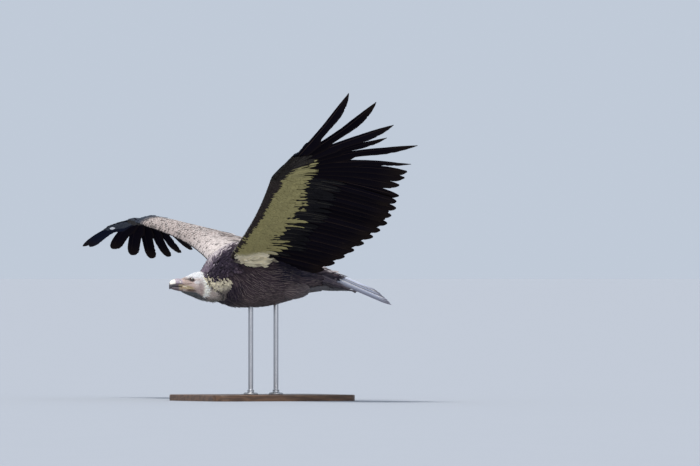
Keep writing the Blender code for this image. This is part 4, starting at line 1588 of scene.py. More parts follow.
# ---------------------------------------------------------------- flight feathers
@dataclass(frozen=True)
class QuillShape:
    """The section of a flight feather: columns over each vane and a rachis along the middle."""

    columns: tuple = (-1.0, -0.6, -0.22, 0.0, 0.18, 0.5, 0.8, 1.0)
    vane: float = 0.0005
    rachis: Pair = (0.0026, 0.0006)

    def across(self) -> Array:
        """Return the column of each point of a ring: over the upper face, then back below."""
        return np.array(self.columns + self.columns[-2:0:-1])

    def laid(self, u: Array, across: Array, seed: float) -> Array:
        """Return along, across and seed at each point of a feather's rings."""
        return np.stack(np.broadcast_arrays(u[:, None], across, seed), -1)

    def heights(self, u: Array, lead: Array, trail: Array) -> tuple[Array, Array, Array]:
        """Return the offsets, upper heights and lower heights over the rows.

        Args:
            u: row places from root to tip.
            lead: width of the leading vane at each row.
            trail: width of the trailing vane at each row.

        Returns:
            Offsets, upper and lower heights, rows by columns.
        """
        columns = np.array(self.columns)
        offset = columns * np.where(columns < 0, lead[:, None], trail[:, None])
        radius = (self.rachis[0] + (self.rachis[1] - self.rachis[0]) * u)[:, None]
        crown = radius * (columns == 0) + self.vane
        curl = -0.10 * np.abs(offset) * np.abs(columns) ** 1.5
        return offset, curl + crown, curl - crown * 0.9


@dataclass
class FlightFeathers:
    """Primaries, alula and secondaries of one wing, each a thin vaned blade."""

    form: WingForm
    blunt: bool
    shape: QuillShape = field(default_factory=QuillShape)
    dark: Triple = (0.0050, 0.0042, 0.0075)
    # painted sheen: a navy tint on the black of the far wing's outermost primaries, the sky's sheen
    # on them; the primaries up to the next number keep the common black
    blue: Triple = (0.010, 0.014, 0.030)
    brown_quills: int = 8
    sunk: float = 1e-5
    brown: Triple = (0.020, 0.014, 0.011)
    rachis: Triple = (0.110, 0.070, 0.050)
    secondaries: int = 21
    wing_root: float = 0.13
    root: float = 0.30
    ragged: float = 0.05
    strips: int = 34
    patch: Pair = (0.026, 0.92)
    thumbs: tuple = ((0.118, 0.0), (0.094, 0.004), (0.070, 0.008))
    slots: tuple = (
        # leading vane, trailing vane and where they start to narrow, for primaries 5 to 10
        (0.0130, 0.0270, 0.58), (0.0140, 0.0350, 0.50), (0.0140, 0.0240, 0.50),
        (0.0130, 0.0360, 0.42), (0.0120, 0.0300, 0.34), (0.0090, 0.0290, 0.32))

    def widths(self, number: int, u: Array) -> tuple[Array, Array]:
        """Return the leading and trailing vane widths of a primary.

        Args:
            number: the primary's number, from the wrist out.
            u: row places from root to tip.

        Returns:
            Both widths at each row.
        """
        if self.blunt:
            tip, share = closing(u, 0.84, 2.2, 0.02, 0.5), fade(0.40, 0.58, u)
            lead, trail = 0.020 - 0.005 * share, 0.045 - (0.015 if number < 9 else 0.027) * share
        elif number <= 4:
            tip, lead, trail = closing(u, 0.80, 2.0, 0.04, 0.6), 0.024, 0.042
        else:
            tip = closing(u, 0.68, 1.9, 0.02, 0.80)
            thin_lead, thin_trail, start = self.slots[number - 5]
            share = fade(start - 0.08, start + 0.07, u)
            thin_trail = thin_trail * (0.86 + 0.14 * fade(0.5, 0.75, u))
            lead, trail = 0.018 + (thin_lead - 0.018) * share, 0.052 + (thin_trail - 0.052) * share
        if number == 10:
            lead = 0.009 - 0.002 * u
        full = tip * (0.25 + 0.75 * fade(0.0, 0.22, u))
        return lead * full, trail * full

    def line(self, number: int, u: Array) -> tuple[Array, Array]:
        """Return the middle line of a primary in the hand's plane, and its sideways direction.

        Args:
            number: the primary's number, from the wrist out.
            u: row places from root to tip.

        Returns:
            The line and the direction.
        """
        form, angle = self.form, math.radians(self.form.fan[number - 1])
        along = np.array((math.cos(angle), math.sin(angle)))
        sideways = np.array((-along[1], along[0]))
        root, length = form.quill_root(number) - along * 0.02, form.lengths[number - 1] + 0.02
        sag = form.sags[number - 1] * length * u**2.5
        return root + along * (u * length)[:, None] + sideways * sag[:, None], sideways

    def room(self, number: int, place: Array, sign: int) -> Amount:
        """Return half the distance from a primary to its neighbour on one side.

        Args:
            number: the primary's number, from the wrist out.
            place: points of its middle line.
            sign: -1 for the outer neighbour, 1 for the inner one.

        Returns:
            The distance at each point.
        """
        other = number - sign
        if not 1 <= other <= self.form.quills:
            return 1.0
        beside, _ = self.line(other, np.linspace(0.0, 1.0, 80))
        return np.linalg.norm(place[:, None] - beside, axis=-1).min(axis=1) / 2

    def notched(self, width: Array, u: Array, rng: np.random.Generator, amount: float) -> Array:
        """Return vane widths with parted barbs towards the tip.

        Args:
            width: vane widths.
            u: row places from root to tip.
            rng: the random numbers.
            amount: how deep the gaps are.

        Returns:
            The widths.
        """
        cuts = rng.random(len(u)) < 0.12 * fade(0.35, 0.8, u)
        wave = 1 + 0.02 * np.sin(u * 90 + rng.uniform(0, 6)) * fade(0.2, 0.6, u)
        return width * wave * np.where(cuts, 1 - amount * rng.uniform(0.6, 1.6, len(u)), 1.0)

    def add(self, pile: Pile, place: Surface, u: Array, lead: Array, trail: Array, tilt: float,
            strip: int, rng: np.random.Generator, level: float = 0.0,
            dark: Optional[Triple] = None) -> None:
        """Add one flight feather.

        Args:
            pile: what it is added to.
            place: gives points from row place, offset and height.
            u: row places.
            lead: leading vane widths.
            trail: trailing vane widths.
            tilt: how far the leading side is raised and the trailing side lowered.
            strip: which strip of the unwrap it takes.
            rng: the random numbers.
            level: a height for the whole feather.
            dark: its tone, if not the common one.
        """
        offset, upper, lower = self.shape.heights(u, lead, trail)
        lean = level - tilt * np.clip(offset / 0.02, -1.0, 1.6)
        top = place(u[:, None], offset, upper + lean)
        bottom = place(u[:, None], offset[:, 1:-1], (lower + lean)[:, 1:-1])
        across = self.shape.across()
        vane = self.shape.laid(u, across, rng.random())
        base = np.array(dark or self.dark) * rng.uniform(0.75, 1.25)
        worn = fade(0.80, 1.0, u)[:, None] * rng.uniform(0.1, 0.6)
        tone = mixed(base, self.brown, np.clip(worn + np.clip(across, 0, 1) * 0.14, 0, 1))
        shown = 0.08 if self.blunt else rng.uniform(0.15, 0.5)
        marks = Marks(tone[None], np.array([(*self.brown, 0.35)]),
                      np.array([(*self.rachis, shown)]))
        spot = np.array([((strip + 0.5) / self.strips, 0.5)])
        pile.add(doubled(top, bottom)[None], vane[None], marks, spot, self.patch,
                 len(self.shape.columns))

    def primaries(self, pile: Pile, rng: np.random.Generator) -> None:
        """Add the ten outer flight feathers, the inner ones above the outer ones.

        Args:
            pile: what they are added to.
            rng: the random numbers.
        """
        u = np.concatenate((np.linspace(0.0, 0.8, 22), np.linspace(0.82, 1.0, 16)))
        for number in range(self.form.quills, 0, -1):
            line, sideways = self.line(number, u)
            lead, trail = self.widths(number, u)
            lead = np.clip(lead, 0.0016, self.room(number, line, -1) + 0.008)
            trail = np.clip(trail, 0.0016, self.room(number, line, 1) + 0.020)
            lead = self.notched(lead, u, rng, self.ragged * 0.6)
            trail = self.notched(trail, u, rng, self.ragged * 1.6)

            def place(_: Array, offset: Array, height: Array) -> Array:
                """Return points of this feather on the hand's arched plane."""
                x, y = np.moveaxis(line[:, None] + sideways * offset[..., None], -1, 0)
                return self.form.hand_point(x, y, height)

            # the outer primaries of the far wing take the painted sky sheen
            sky_sheened = self.blunt and number > self.brown_quills
            self.add(pile, place, u, lead, trail, 0.0011, number - 1, rng,
                     level=-self.sunk * sky_sheened, dark=self.blue if sky_sheened else self.dark)

    def inner(self, pile: Pile, rng: np.random.Generator) -> None:
        """Add the secondaries and tertials along the arm.

        Args:
            pile: what they are added to.
            rng: the random numbers.
        """
        form = self.form
        step = (1.0 + self.wing_root) / self.secondaries
        u = np.concatenate((np.linspace(0.0, 0.84, 16), np.linspace(0.87, 1.0, 12)))
        full = closing(u, 0.90, 2.0, 0.02, 0.5) * (0.5 + 0.5 * fade(0.0, 0.2, u))
        for k in range(self.secondaries):
            end = 1.0 - 0.034 * (k % 2) - rng.uniform(0.0, 0.024)
            lead = self.notched(0.0165 * full, u, rng, self.ragged * 0.5)
            trail = self.notched(0.0260 * full, u, rng, self.ragged)
            skew = rng.normal(0, 0.008)

            def place(rows: Array, offset: Array, height: Array) -> Array:
                """Return points of this feather behind the arm."""
                s = 1.0 - step * (k + 0.5) + skew * rows - (offset - 0.004) / form.reach
                return form.arm_point(s, self.root + (end - self.root) * rows, height)

            self.add(pile, place, u, lead, trail, 0.0010, form.quills + k, rng,
                     level=0.0003 * (k % 2))

    def alula(self, pile: Pile, rng: np.random.Generator) -> None:
        """Add the three thumb feathers that lie along the leading edge.

        Args:
            pile: what they are added to.
            rng: the random numbers.
        """
        u = np.linspace(0.0, 1.0, 20)
        wide = 0.0065 * closing(u, 0.72, 2, 0.0036, 0.5) * (0.5 + 0.5 * fade(0, 0.2, u))
        first = self.form.quills + self.secondaries
        for k, (long, out) in enumerate(self.thumbs):

            def place(rows: Array, offset: Array, height: Array) -> Array:
                """Return points of this feather over the hand's leading edge."""
                return self.form.hand_point(0.002 + long * rows,
                                            0.004 + out + offset + 0.004 * rows,
                                            height + 0.006 + 0.003 * rows)

            self.add(pile, place, u, wide * 0.8, wide, 0.0003, first + k, rng)

    def build(self) -> Pieces:
        """Build the feathers of this wing and return the pieces.

        Returns:
            The pieces.
        """
        word = self.form.side.word
        rng = np.random.default_rng(53 + self.form.side.value)
        finish = PlumeFinish(f"flight_feathers_{word}", 90.0, 9.0, 0.055, 0.70, 0.0, 0.0)
        outer, arm = Pile(f"primaries_{word}"), Pile(f"secondaries_{word}_vanes")
        self.primaries(outer, rng)
        self.alula(outer, rng)
        self.inner(arm, rng)
        names = [f"primary_{word}_{n:02d}" for n in range(1, self.form.quills + 1)]
        return [outer.build(finish, "flight", *names, f"alula_{word}"),
                arm.build(finish, "flight", f"secondaries_{word}")]


# ---------------------------------------------------------------- tail
@dataclass
class Tail:
    """Fourteen tail feathers in a narrow fan, with coverts over and under their roots."""

    root: Triple = (0.2665, 0.0, 0.0300)
    drop: float = math.radians(20.6)
    twist: float = math.radians(29)
    length: float = 0.268
    root_half: float = 0.032
    spread: float = math.radians(3)
    rectrices: int = 14
    grade: float = 0.54
    patch: Pair = (0.064, 0.92)
    shades: tuple = (0.62, 1.0, 1.75, 0.80, 1.30)
    shafts: tuple = (0.1, 0.3, 0.9)
    vent: tuple = (
        # x, lowest point
        (0.20, -0.0150), (0.23, -0.0140), (0.258, -0.0205), (0.288, -0.0220), (0.322, -0.0255),
        (0.364, -0.0260))
    vent_half: tuple = ((0.22, 0.050), (0.27, 0.047), (0.31, 0.045), (0.35, 0.040), (0.38, 0.030))
    # painted sheen: pale blue-grey on the tail's upper faces stands for the sun glancing off the
    # dark tail
    pale: Triple = (0.225, 0.250, 0.330)
    edge: Triple = (0.075, 0.070, 0.095)
    dark: Triple = (0.016, 0.011, 0.019)
    rump: Triple = (0.48, 0.38, 0.33)
    shaft: Triple = (0.92, 0.88, 0.80)
    streak: Triple = (0.24, 0.19, 0.17)

    def axes(self) -> tuple[Array, Array, Array]:
        """Return the long axis, the right-hand axis and the upper normal.

        Returns:
            The three axes.
        """
        cos, sin = math.cos(self.drop), math.sin(self.drop)
        along, level = np.array((cos, 0, -sin)), np.array((sin, 0, cos))
        right = np.array((0.0, 1.0, 0.0))
        side = math.cos(self.twist) * right + math.sin(self.twist) * level
        return along, side, math.cos(self.twist) * level - math.sin(self.twist) * right

    def point(self, r: Array, across: Array, h: Array) -> Array:
        """Return a point of the fan: how far along, how far across, height above it.

        Args:
            r: how far along, in the tail's length.
            across: how far across, from -1 to 1.
            h: heights above it.

        Returns:
            The points.
        """
        r, across, h = np.broadcast_arrays(np.asarray(r, float), across, h)
        along, side, up = self.axes()
        reach, angle = self.length * r, self.spread * across
        return (np.array(self.root) + along * (reach * np.cos(angle) + 0.001)[..., None]
                + side * (reach * np.sin(angle) + across * self.root_half)[..., None]
                + up * (0.010 * (1 - np.clip(across, -1.3, 1.3) ** 2) + h)[..., None])

    def over(self, r: Array, across: Array, h: Array) -> Array:
        """Return a point over the tail's root."""
        return self.point(r, across, 0.002 + h)

    def beneath(self, r: Array, across: Array, h: Array) -> Array:
        """Return a point of the vent's swelling below the tail's root.

        Args:
            r: how far along, in the tail's length.
            across: how far across, from -1 to 1.
            h: heights above it.

        Returns:
            The points.
        """
        x = self.root[0] + 0.27 * r
        angle = np.clip(across, -1.4, 1.4) * math.pi / 2
        y = (np.interp(x, *zip(*self.vent_half)) + h) * power(np.sin(angle), 0.8)
        top = self.root[2] - 0.40 * (x - self.root[0]) - 0.010 + 0.50 * np.minimum(y, 0.0)
        tall = top - np.interp(x, *zip(*self.vent)) + h
        return np.stack((x + 0 * y, y, top - tall * power(np.cos(angle), 0.6)), -1)

    def fan(self, pile: Pile, rng: np.random.Generator) -> None:
        """Add the tail feathers, from the outermost to the middle pair on top.

        Args:
            pile: what they are added to.
            rng: the random numbers.
        """
        shape = QuillShape(rachis=(0.0016, 0.0005))
        tops = len(shape.columns)
        u = np.concatenate((np.linspace(0.0, 0.80, 18), np.linspace(0.82, 1.0, 14)))
        tip = closing(u, 0.80, 2.0, 0.02, 0.7)
        gap = (self.root_half + self.length * u * math.sin(self.spread))[:, None]
        order = sorted(range(self.rectrices), key=lambda k: -abs(k - (self.rectrices - 1) / 2))
        for rank, k in enumerate(order):
            middle = (2 * (k + 0.5) / self.rectrices - 1) * 0.93
            outward = 1.0 if middle > 0 else -1.0
            full = 1 - self.grade * (middle + 1) / 2 - rng.uniform(0, 0.02)
            torn = np.where(rng.random(len(u)) < 0.20 * fade(0.5, 0.9, u), 0.78, 1.0)
            offset, upper, lower = shape.heights(u, 0.0070 * tip, 0.0120 * tip * torn)
            a, stack = middle - outward * offset / gap, 0.00055 * rank - 0.0035
            r = (full * u - 0.02 * (1 - u))[:, None]
            rings = doubled(self.point(r, a, upper + stack),
                            self.point(r, a[:, 1:-1], lower[:, 1:-1] + stack))
            across = shape.across()
            below = np.arange(len(across)) >= tops
            if outward > 0:
                rings, across, below = rings[:, ::-1], across[::-1], below[::-1]
            vane = shape.laid(u, across, rng.random())
            shade = self.shades[k % len(self.shades)] * rng.uniform(0.9, 1.1)
            share = fade(-0.2, -0.9, across) * 0.75 + fade(0.88, 1.0, u)[:, None] * 0.55
            # the upper faces get the painted sheen; the under faces keep the tail's own dark
            tone = mixed(np.array(self.pale) * shade, self.edge, np.clip(share, 0, 1))
            tone = mixed(tone, self.dark, below * 0.85)
            shown = self.shafts[k % len(self.shafts)]
            marks = Marks(tone[None], np.array([(*self.edge, 0.55)]),
                          np.array([(*self.shaft, shown)]))
            spot = np.array([((rank + 0.5) / self.rectrices, 0.5)])
            pile.add(rings[None], vane[None], marks, spot, self.patch, tops)

    def coverts(self, pile: Pile, face: Face, rng: np.random.Generator) -> None:
        """Lay the coverts over or under the tail's root.

        Args:
            pile: what they are added to.
            face: the upper or the lower face.
            rng: the random numbers.
        """
        under = face is Face.UNDER
        rows = np.linspace(0.18, -0.18, 19) if under else np.linspace(0.16, -0.14, 14)
        r, across, _ = grid(rows, (-1.1, 1.1), 0.0085, 0.110 if under else 0.075, rng, 0.3)
        kept = under | (r < -0.055 + 0.10 * (across + 1))
        r, across = r[kept], across[kept]
        count = len(r)
        grown = rng.uniform(0.040, 0.060, count) * (1 - 0.35 * fade(0.18, 0.36, r) * under)
        rump = (across > 0.30) & (r < 0.04) & (not under)
        tone = np.where(rump[:, None], self.rump, self.dark) * rng.uniform(0.65, 1.45, (count, 1))
        lay = Lay(r, across, grown, 0.0130, rng.normal(0, 0.14, count),
                  -0.004 if under else -0.003, rng.normal(0.0062, 0.0012, count), bow=0.08,
                  seed=77)
        strip = 0.02 + 0.50 * (r + 0.18) / 0.54 if under else 0.60 + 0.35 * (r + 0.1) / 0.3
        marks = Marks.laid(tone, tone * 1.7 + 0.01, 0.35, self.streak, 0.30)
        lay_vanes(pile, self.beneath if under else self.over, lay,
                  Cut(0.5, 0.4, 0.45, 0.6, 8, 0.12), marks,
                  np.stack((0.5 + 0.4 * across, strip), -1))

    def build(self) -> Pieces:
        """Build the tail and return its pieces.

        Returns:
            The pieces.
        """
        rng = np.random.default_rng(5)
        feathers, cover = Pile("tail_feathers"), Pile("tail_coverts")
        self.fan(feathers, rng)
        for face in Face:
            self.coverts(cover, face, rng)
        finish = PlumeFinish("tail_feathers", 40.0, 7.0, 0.20, 0.55, gloss=0.3)
        return [feathers.build(finish, "tail", "tail"),
                cover.build(PlumeFinish("tail_coverts"), "body")]


# ---------------------------------------------------------------- head
@dataclass(frozen=True)
class HeadMarks:
    """Where the head's colours lie: white crown and nape, flushed cheek, dusky lores and chin."""

    crown: Triple = (0.780, 0.785, 0.800)
    cheek: Triple = (0.460, 0.345, 0.300)
    temple: Triple = (0.560, 0.480, 0.450)
    # dusky skin; round the eye and at the ear opening it also stands for painted shade
    dusky: Triple = (0.045, 0.026, 0.028)
    chin: Triple = (0.060, 0.064, 0.066)
    tan: Triple = (0.420, 0.320, 0.190)
    gape: Triple = (0.085, 0.042, 0.024)
    mauve: Triple = (0.300, 0.205, 0.195)
    stripe: Triple = (1.000, 0.950, 0.820)
    olive: Triple = (0.560, 0.460, 0.400)
    # painted shade: darker towards the bottom of the neck, the shade under the head
    throat: Triple = (0.085, 0.078, 0.058)
    nape: Triple = (0.110, 0.086, 0.105)
    patches: tuple = (
        # colour, share, x, z, half length, half height, rise towards the back
        ("mauve", 0.40, -0.2535, -0.0125, 0.0120, 0.0150, 0.00),
        ("crown", 0.50, -0.2705, 0.0040, 0.0110, 0.0060, 0.00),
        ("tan", 1.00, -0.3060, -0.0150, 0.0270, 0.0078, -0.16),
        # a pale streak over the tan skin: painted highlight
        ("stripe", 0.60, -0.3130, -0.0110, 0.0080, 0.0016, -0.16),
        # a dark spot below the cheek: painted shadow of the jaw fold
        ("gape", 0.95, -0.2890, -0.0255, 0.0170, 0.0046, -0.08),
        ("gape", 0.85, -0.3100, -0.0030, 0.0250, 0.0013, 0.10),
        # partly the dark skin round the eye, partly painted shade of the socket under the brow
        ("dusky", 0.92, -0.2872, 0.0122, 0.0115, 0.0062, -0.12),
        ("dusky", 0.65, -0.3020, 0.0145, 0.0085, 0.0022, -0.10),
        # a dark spot at the ear opening: painted shade inside it
        ("dusky", 0.30, -0.2620, -0.0030, 0.0040, 0.0050, 0.00))
    chin_line: tuple = ((-0.336, -0.0250), (-0.301, -0.0290), (-0.273, -0.0310), (-0.256, -0.0390),
                        (-0.240, -0.0475), (-0.225, -0.0600))

    def tone(self, x: Array, z: Array) -> Array:
        """Return the colour of skin and down at places of the head and neck.

        Args:
            x: places along the head.
            z: heights.

        Returns:
            The colours.
        """
        colour = mixed(self.cheek, self.temple, fade(-0.290, -0.262, x) * fade(-0.03, 0.005, z))
        colour = mixed(colour, self.crown, fade(0.012, 0.026, z) * fade(-0.313, -0.296, x))
        colour = mixed(colour, self.crown, fade(-0.262, -0.240, x) * fade(-0.03, 0.01, z) * 0.8)
        for name, share, at_x, at_z, long, tall, slope in self.patches:
            away = np.hypot((x - at_x) / long, (z - at_z - slope * (x - at_x)) / tall)
            colour = mixed(colour, getattr(self, name), fade(1.25, 0.70, away) * share)
        low = np.interp(x, *zip(*self.chin_line))
        colour = mixed(colour, self.chin, fade(0.003, -0.004, z - low))
        stripe = fade(-0.250, -0.243, x) * fade(-0.052, -0.045, z)
        colour = mixed(colour, self.stripe, stripe)
        # painted shade: the neck darkens towards its bottom
        back = mixed(self.olive, self.throat, fade(-0.048, -0.064, z))
        colour = mixed(colour, back, fade(-0.2325, -0.2265, x))
        return mixed(colour, self.nape, fade(-0.238, -0.232, x) * fade(0.012, 0.030, z))


@dataclass
class Head:
    """Modelled skin, down, bill, cere and eyes."""

    form: BodyForm
    marks: HeadMarks = field(default_factory=HeadMarks)
    eye: Triple = (-0.2855, 0.0168, 0.0125)
    eye_radius: float = 0.0078
    upper: tuple = (
        # x, top, bottom, half width
        (-0.3675, -0.0090, -0.0175, 0.0016), (-0.3668, -0.0025, -0.0200, 0.0030),
        (-0.3655, 0.0024, -0.0212, 0.0044), (-0.3635, 0.0062, -0.0205, 0.0058),
        (-0.3600, 0.0092, -0.0185, 0.0072), (-0.3540, 0.0122, -0.0146, 0.0088),
        (-0.3450, 0.0142, -0.0133, 0.0106), (-0.3330, 0.0160, -0.0133, 0.0126),
        (-0.3180, 0.0155, -0.0150, 0.0150))
    brow: Quad = (-0.3090, 0.0195, -0.0150, 0.0185)
    lower: tuple = (
        (-0.3615, -0.0140, -0.0195, 0.0034), (-0.3520, -0.0110, -0.0228, 0.0068),
        (-0.3380, -0.0100, -0.0262, 0.0104), (-0.3280, -0.0110, -0.0282, 0.0124),
        (-0.3180, -0.0130, -0.0290, 0.0120))
    lids: tuple = (
        # upward or downward, opening, width, thickness
        (1.0, 0.52, 0.26, 0.0011), (-1.0, 0.62, 0.20, 0.0009))
    horn: Triple = (0.028, 0.026, 0.032)
    horn_side: Triple = (0.085, 0.070, 0.075)
    horn_ridge: Triple = (0.86, 0.80, 0.70)
    under_edge: Triple = (0.120, 0.085, 0.095)
    under_base: Triple = (0.300, 0.225, 0.150)
    wax: Triple = (0.420, 0.350, 0.385)
    wax_side: Triple = (0.150, 0.110, 0.120)
    wax_foot: Triple = (0.060, 0.045, 0.048)
    wax_furrow: Triple = (0.170, 0.125, 0.145)
    # painted shade: near-black inside the nostril slits
    nostril: Triple = (0.012, 0.008, 0.010)
    lid: Triple = (0.055, 0.034, 0.034)
    hoar: Triple = (0.80, 0.78, 0.75)

    def crease(self, x: Array, z: Array) -> Array:
        """Return the height above the fold that runs back from the gape."""
        return z + 0.0155 + (x + 0.300) * 0.35

    def modelled(self, x: Array, a: Array) -> Array:
        """Return how far brows, sockets, cheeks and folds stand out from the plain form.

        Args:
            x: places along the body.
            a: angles round it.

        Returns:
            The distances.
        """
        z, aside = self.form.flat(x, a)[..., 2], np.abs(np.cos(a))
        dx, dz = x - self.eye[0], z - self.eye[2]
        brow = bell(np.hypot(dx * 0.55, dz - 0.0085 - 0.15 * dx), 0.0042) * fade(0.15, 0.5, aside)
        socket = bell(np.hypot(dx, dz), 0.0085)
        cheek = bell(np.hypot((x + 0.270) / 0.016, (z + 0.012) / 0.012), 1.0)
        gape = bell(self.crease(x, z), 0.0016) * fade(-0.285, -0.297, x)
        ear = bell(np.hypot(x + 0.262, z + 0.004), 0.0030)
        folds = np.sin(x * 900 + 3 * np.sin(a * 3)) * fade(-0.262, -0.235, x)
        return 0.0030 * brow + fade(0.25, 0.75, aside) * (
            0.0018 * cheek - 0.0030 * socket - 0.0022 * gape - 0.0010 * ear + 0.0005 * folds)

    def skin_point(self, x: Array, a: Array, h: Array) -> Array:
        """Return a point of the head's finished surface, at a height above it."""
        return self.form.point(x, a, self.modelled(x, a) + h)

    def skin_grid(self) -> tuple[Array, Array]:
        """Return the head and neck skin as a grid of points and its colours.

        Returns:
            The points and the colours.
        """
        x, a = np.linspace(-0.3212, -0.190, 120)[:, None], turns(132)
        points = self.skin_point(x, a, -0.0012 - 0.0036 * fade(-0.262, -0.225, x))
        return points, self.marks.tone(x, self.form.flat(x, a)[..., 2])

    def down(self) -> bpy.types.Object:
        """Lay the down of crown, cheeks, throat and neck, but for the eye and the gape.

        Returns:
            The piece.
        """
        rng = np.random.default_rng(8)
        rows = np.arange(-0.196, -0.317, -0.0026)
        gap = np.interp(rows, (-0.317, -0.27, -0.2), (0.0026, 0.0030, 0.0042))
        x, a, _ = grid(rows, (0.0, math.tau), gap, self.form.girth(rows), rng, 0.4)
        z, count = self.form.flat(x, a)[..., 2], len(x)
        kept = np.hypot((x - self.eye[0]) / 1.25, z - self.eye[2]) > self.eye_radius
        kept &= (np.abs(self.crease(x, z)) > 0.0012) | (x > -0.286)
        kept &= x < COLLAR.front(a) + 0.012 * fade(30, 60, COLLAR.away(a))
        bare = fade(-0.262, -0.285, x) * fade(0.020, 0.010, z)
        grown = (0.0055 + 0.0075 * fade(-0.285, -0.235, x)) * (1 - 0.55 * bare)
        grown = grown * rng.uniform(0.7, 1.3, count)
        wide = (0.0016 + 0.0016 * fade(-0.28, -0.22, x)) * rng.uniform(0.8, 1.3, count)
        turn = rng.normal(0.0, 0.28, count)
        rise = 0.0022 * (1 - 0.5 * bare) + 0.0040 * fade(-0.265, -0.23, x)
        lay = Lay(x, a, grown, wide, turn, -0.0010 - 0.0028 * fade(-0.262, -0.225, x),
                  rise * rng.uniform(0.6, 1.3, count), bow=0.2, seed=9)
        tone = self.marks.tone(x + 0.004, z) * rng.uniform(0.82, 1.14, (count, 1))
        tone = mixed(tone, self.hoar, 0.12 * rng.random(count))[kept]
        marks = Marks.laid(np.minimum(tone, 0.9), np.minimum(tone * 1.2, 0.95), 0.5)
        pile = Pile("down_head_neck")
        lay_vanes(pile, self.skin_point, lay.kept(kept), Cut(0.5, 0.3, 0.3, 0.8, 4, 0.22, 0.0002),
                  marks, wrapped(a, 0.01 + 0.98 * (x + 0.320) / 0.126)[kept])
        return pile.build(PlumeFinish("head_down", barbs=8.0, sheen=0.3, gloss=0.15), "down")

    def section(self, table: tuple, x: Array, around: int) -> tuple[Array, ...]:
        """Return the bill's middle, half height and half width, and cosines and sines round it.

        Args:
            table: stations of top, bottom and half width.
            x: places along it.
            around: points of a ring.

        Returns:
            The five values.
        """
        top, bottom, half = stations(table, x)
        a = turns(around, 0.5)
        return (top + bottom) / 2, (top - bottom) / 2, half, np.cos(a), np.sin(a)

    def pinch(self, s: Array) -> Array:
        """Return how the upper half of the bill narrows to its ridge."""
        return 1 - 0.38 * np.maximum(s, 0) ** 2 - 0.10 * np.maximum(-s, 0)

    def mandible(self, name: str, table: tuple, node: str, upper: bool) -> bpy.types.Object:
        """Build one half of the bill.

        Args:
            name: the piece's name.
            table: stations of top, bottom and half width along X.
            node: the solid that it stands for.
            upper: whether it is the hooked half.

        Returns:
            The piece.
        """
        tip, base = table[0][0], table[-1][0]
        x = (tip + (base - tip) * np.linspace(0.0, 1.0, 64) ** 1.35)[:, None]
        middle, tall, half, c, s = self.section(table, x, 48)
        if upper:
            half = half * self.pinch(s) * np.clip((x - tip) / 0.0035, 0.12, 1.0) ** 0.5
            middle = middle - 0.0012 * bell(x + 0.350, 0.006) * fade(-0.5, -0.9, s)
        else:
            half = half * (1 - 0.25 * np.maximum(-s, 0) ** 2)
        y, z = half * power(c, 0.85), middle + tall * power(s, 0.9)
        tone = mixed(self.horn, self.horn_side, fade(-0.020, -0.006, z))
        if upper:
            ridge = fade(-0.0012, 0.0014, z + 0.0030 - 0.10 * (x + 0.355))
            ridge = ridge * fade(-0.3668, -0.3648, x)
            tone = mixed(tone, self.horn_ridge, ridge)
            tone = mixed(tone, self.horn, fade(-0.0050, -0.0025, z) * (1 - ridge) * 0.7)
        else:
            tone = mixed(tone, self.under_edge, fade(-0.0135, -0.0165, z))
            base = fade(-0.338, -0.327, x) * fade(-0.0265, -0.0235, z)
            tone = mixed(tone, self.under_base, base)
        pile = Pile(name)
        pile.solid(np.stack((x + 0 * y, y, z), -1)[::-1], tone[::-1])
        return pile.build(HornFinish(name + "_horn"), "horn", node)

    def cere(self) -> bpy.types.Object:
        """Build the purplish skin over the bill's base, with its slit nostrils.

        Returns:
            The piece.
        """
        around = 96
        x, a = np.linspace(-0.3475, -0.3095, 46)[:, None], turns(around, 0.5)
        middle, tall, half, c, s = self.section((*self.upper, self.brow), x, around)
        plain = middle + tall * power(s, 0.9)
        slit = np.hypot((x + 0.3290 + (plain - 0.0055) * 0.35) / 0.0014,
                        (plain - 0.0058) / 0.0042)
        pit, lip = (bump * (np.abs(c) > 0.3) for bump in (bell(slit, 1.0), bell(slit - 1.35, 0.4)))
        out = 0.0011 * np.sin(np.clip((x + 0.3475) / 0.008, 0, 1) * math.pi / 2)
        out = out - 0.0016 * fade(-0.3472, -0.3480, x) - 0.0034 * fade(-0.3190, -0.3095, x)
        out = out + 0.00022 * np.sin(x * 1500 + 2.0 * np.sin(a * 4)) - 0.0034 * pit + 0.0005 * lip
        foot = fade(-0.55, -0.85, s)
        y = (half * self.pinch(s) + out * (1 - foot * 1.3)) * power(c, 0.85)
        z = middle + (tall + out * (1 - foot * 1.6)) * power(s, 0.9)
        furrow = np.sin(x * 1150 + 0.6) * fade(-0.001, 0.004, z)
        tone = mixed(self.wax, self.wax_side, fade(0.002, -0.001, z))
        for colour, share in (
                (self.marks.tan, fade(-0.0025, -0.0055, z) * fade(-0.338, -0.332, x)),
                (self.wax_foot, fade(-0.0105, -0.0125, z)),
                (self.wax_furrow, fade(0.35, 0.95, furrow) * 0.65),
                # painted shade in the nostril slits
                (self.nostril, np.clip(pit * 1.4, 0, 1)),
                (self.marks.tone(x, z), fade(-0.3250, -0.3170, x))):
            tone = mixed(tone, colour, share)
        pile = Pile("cere")
        pile.solid(np.stack((x + 0 * y, y, z), -1)[::-1], tone[::-1])
        return pile.build(SkinFinish("cere_skin", 0.45), "skin")

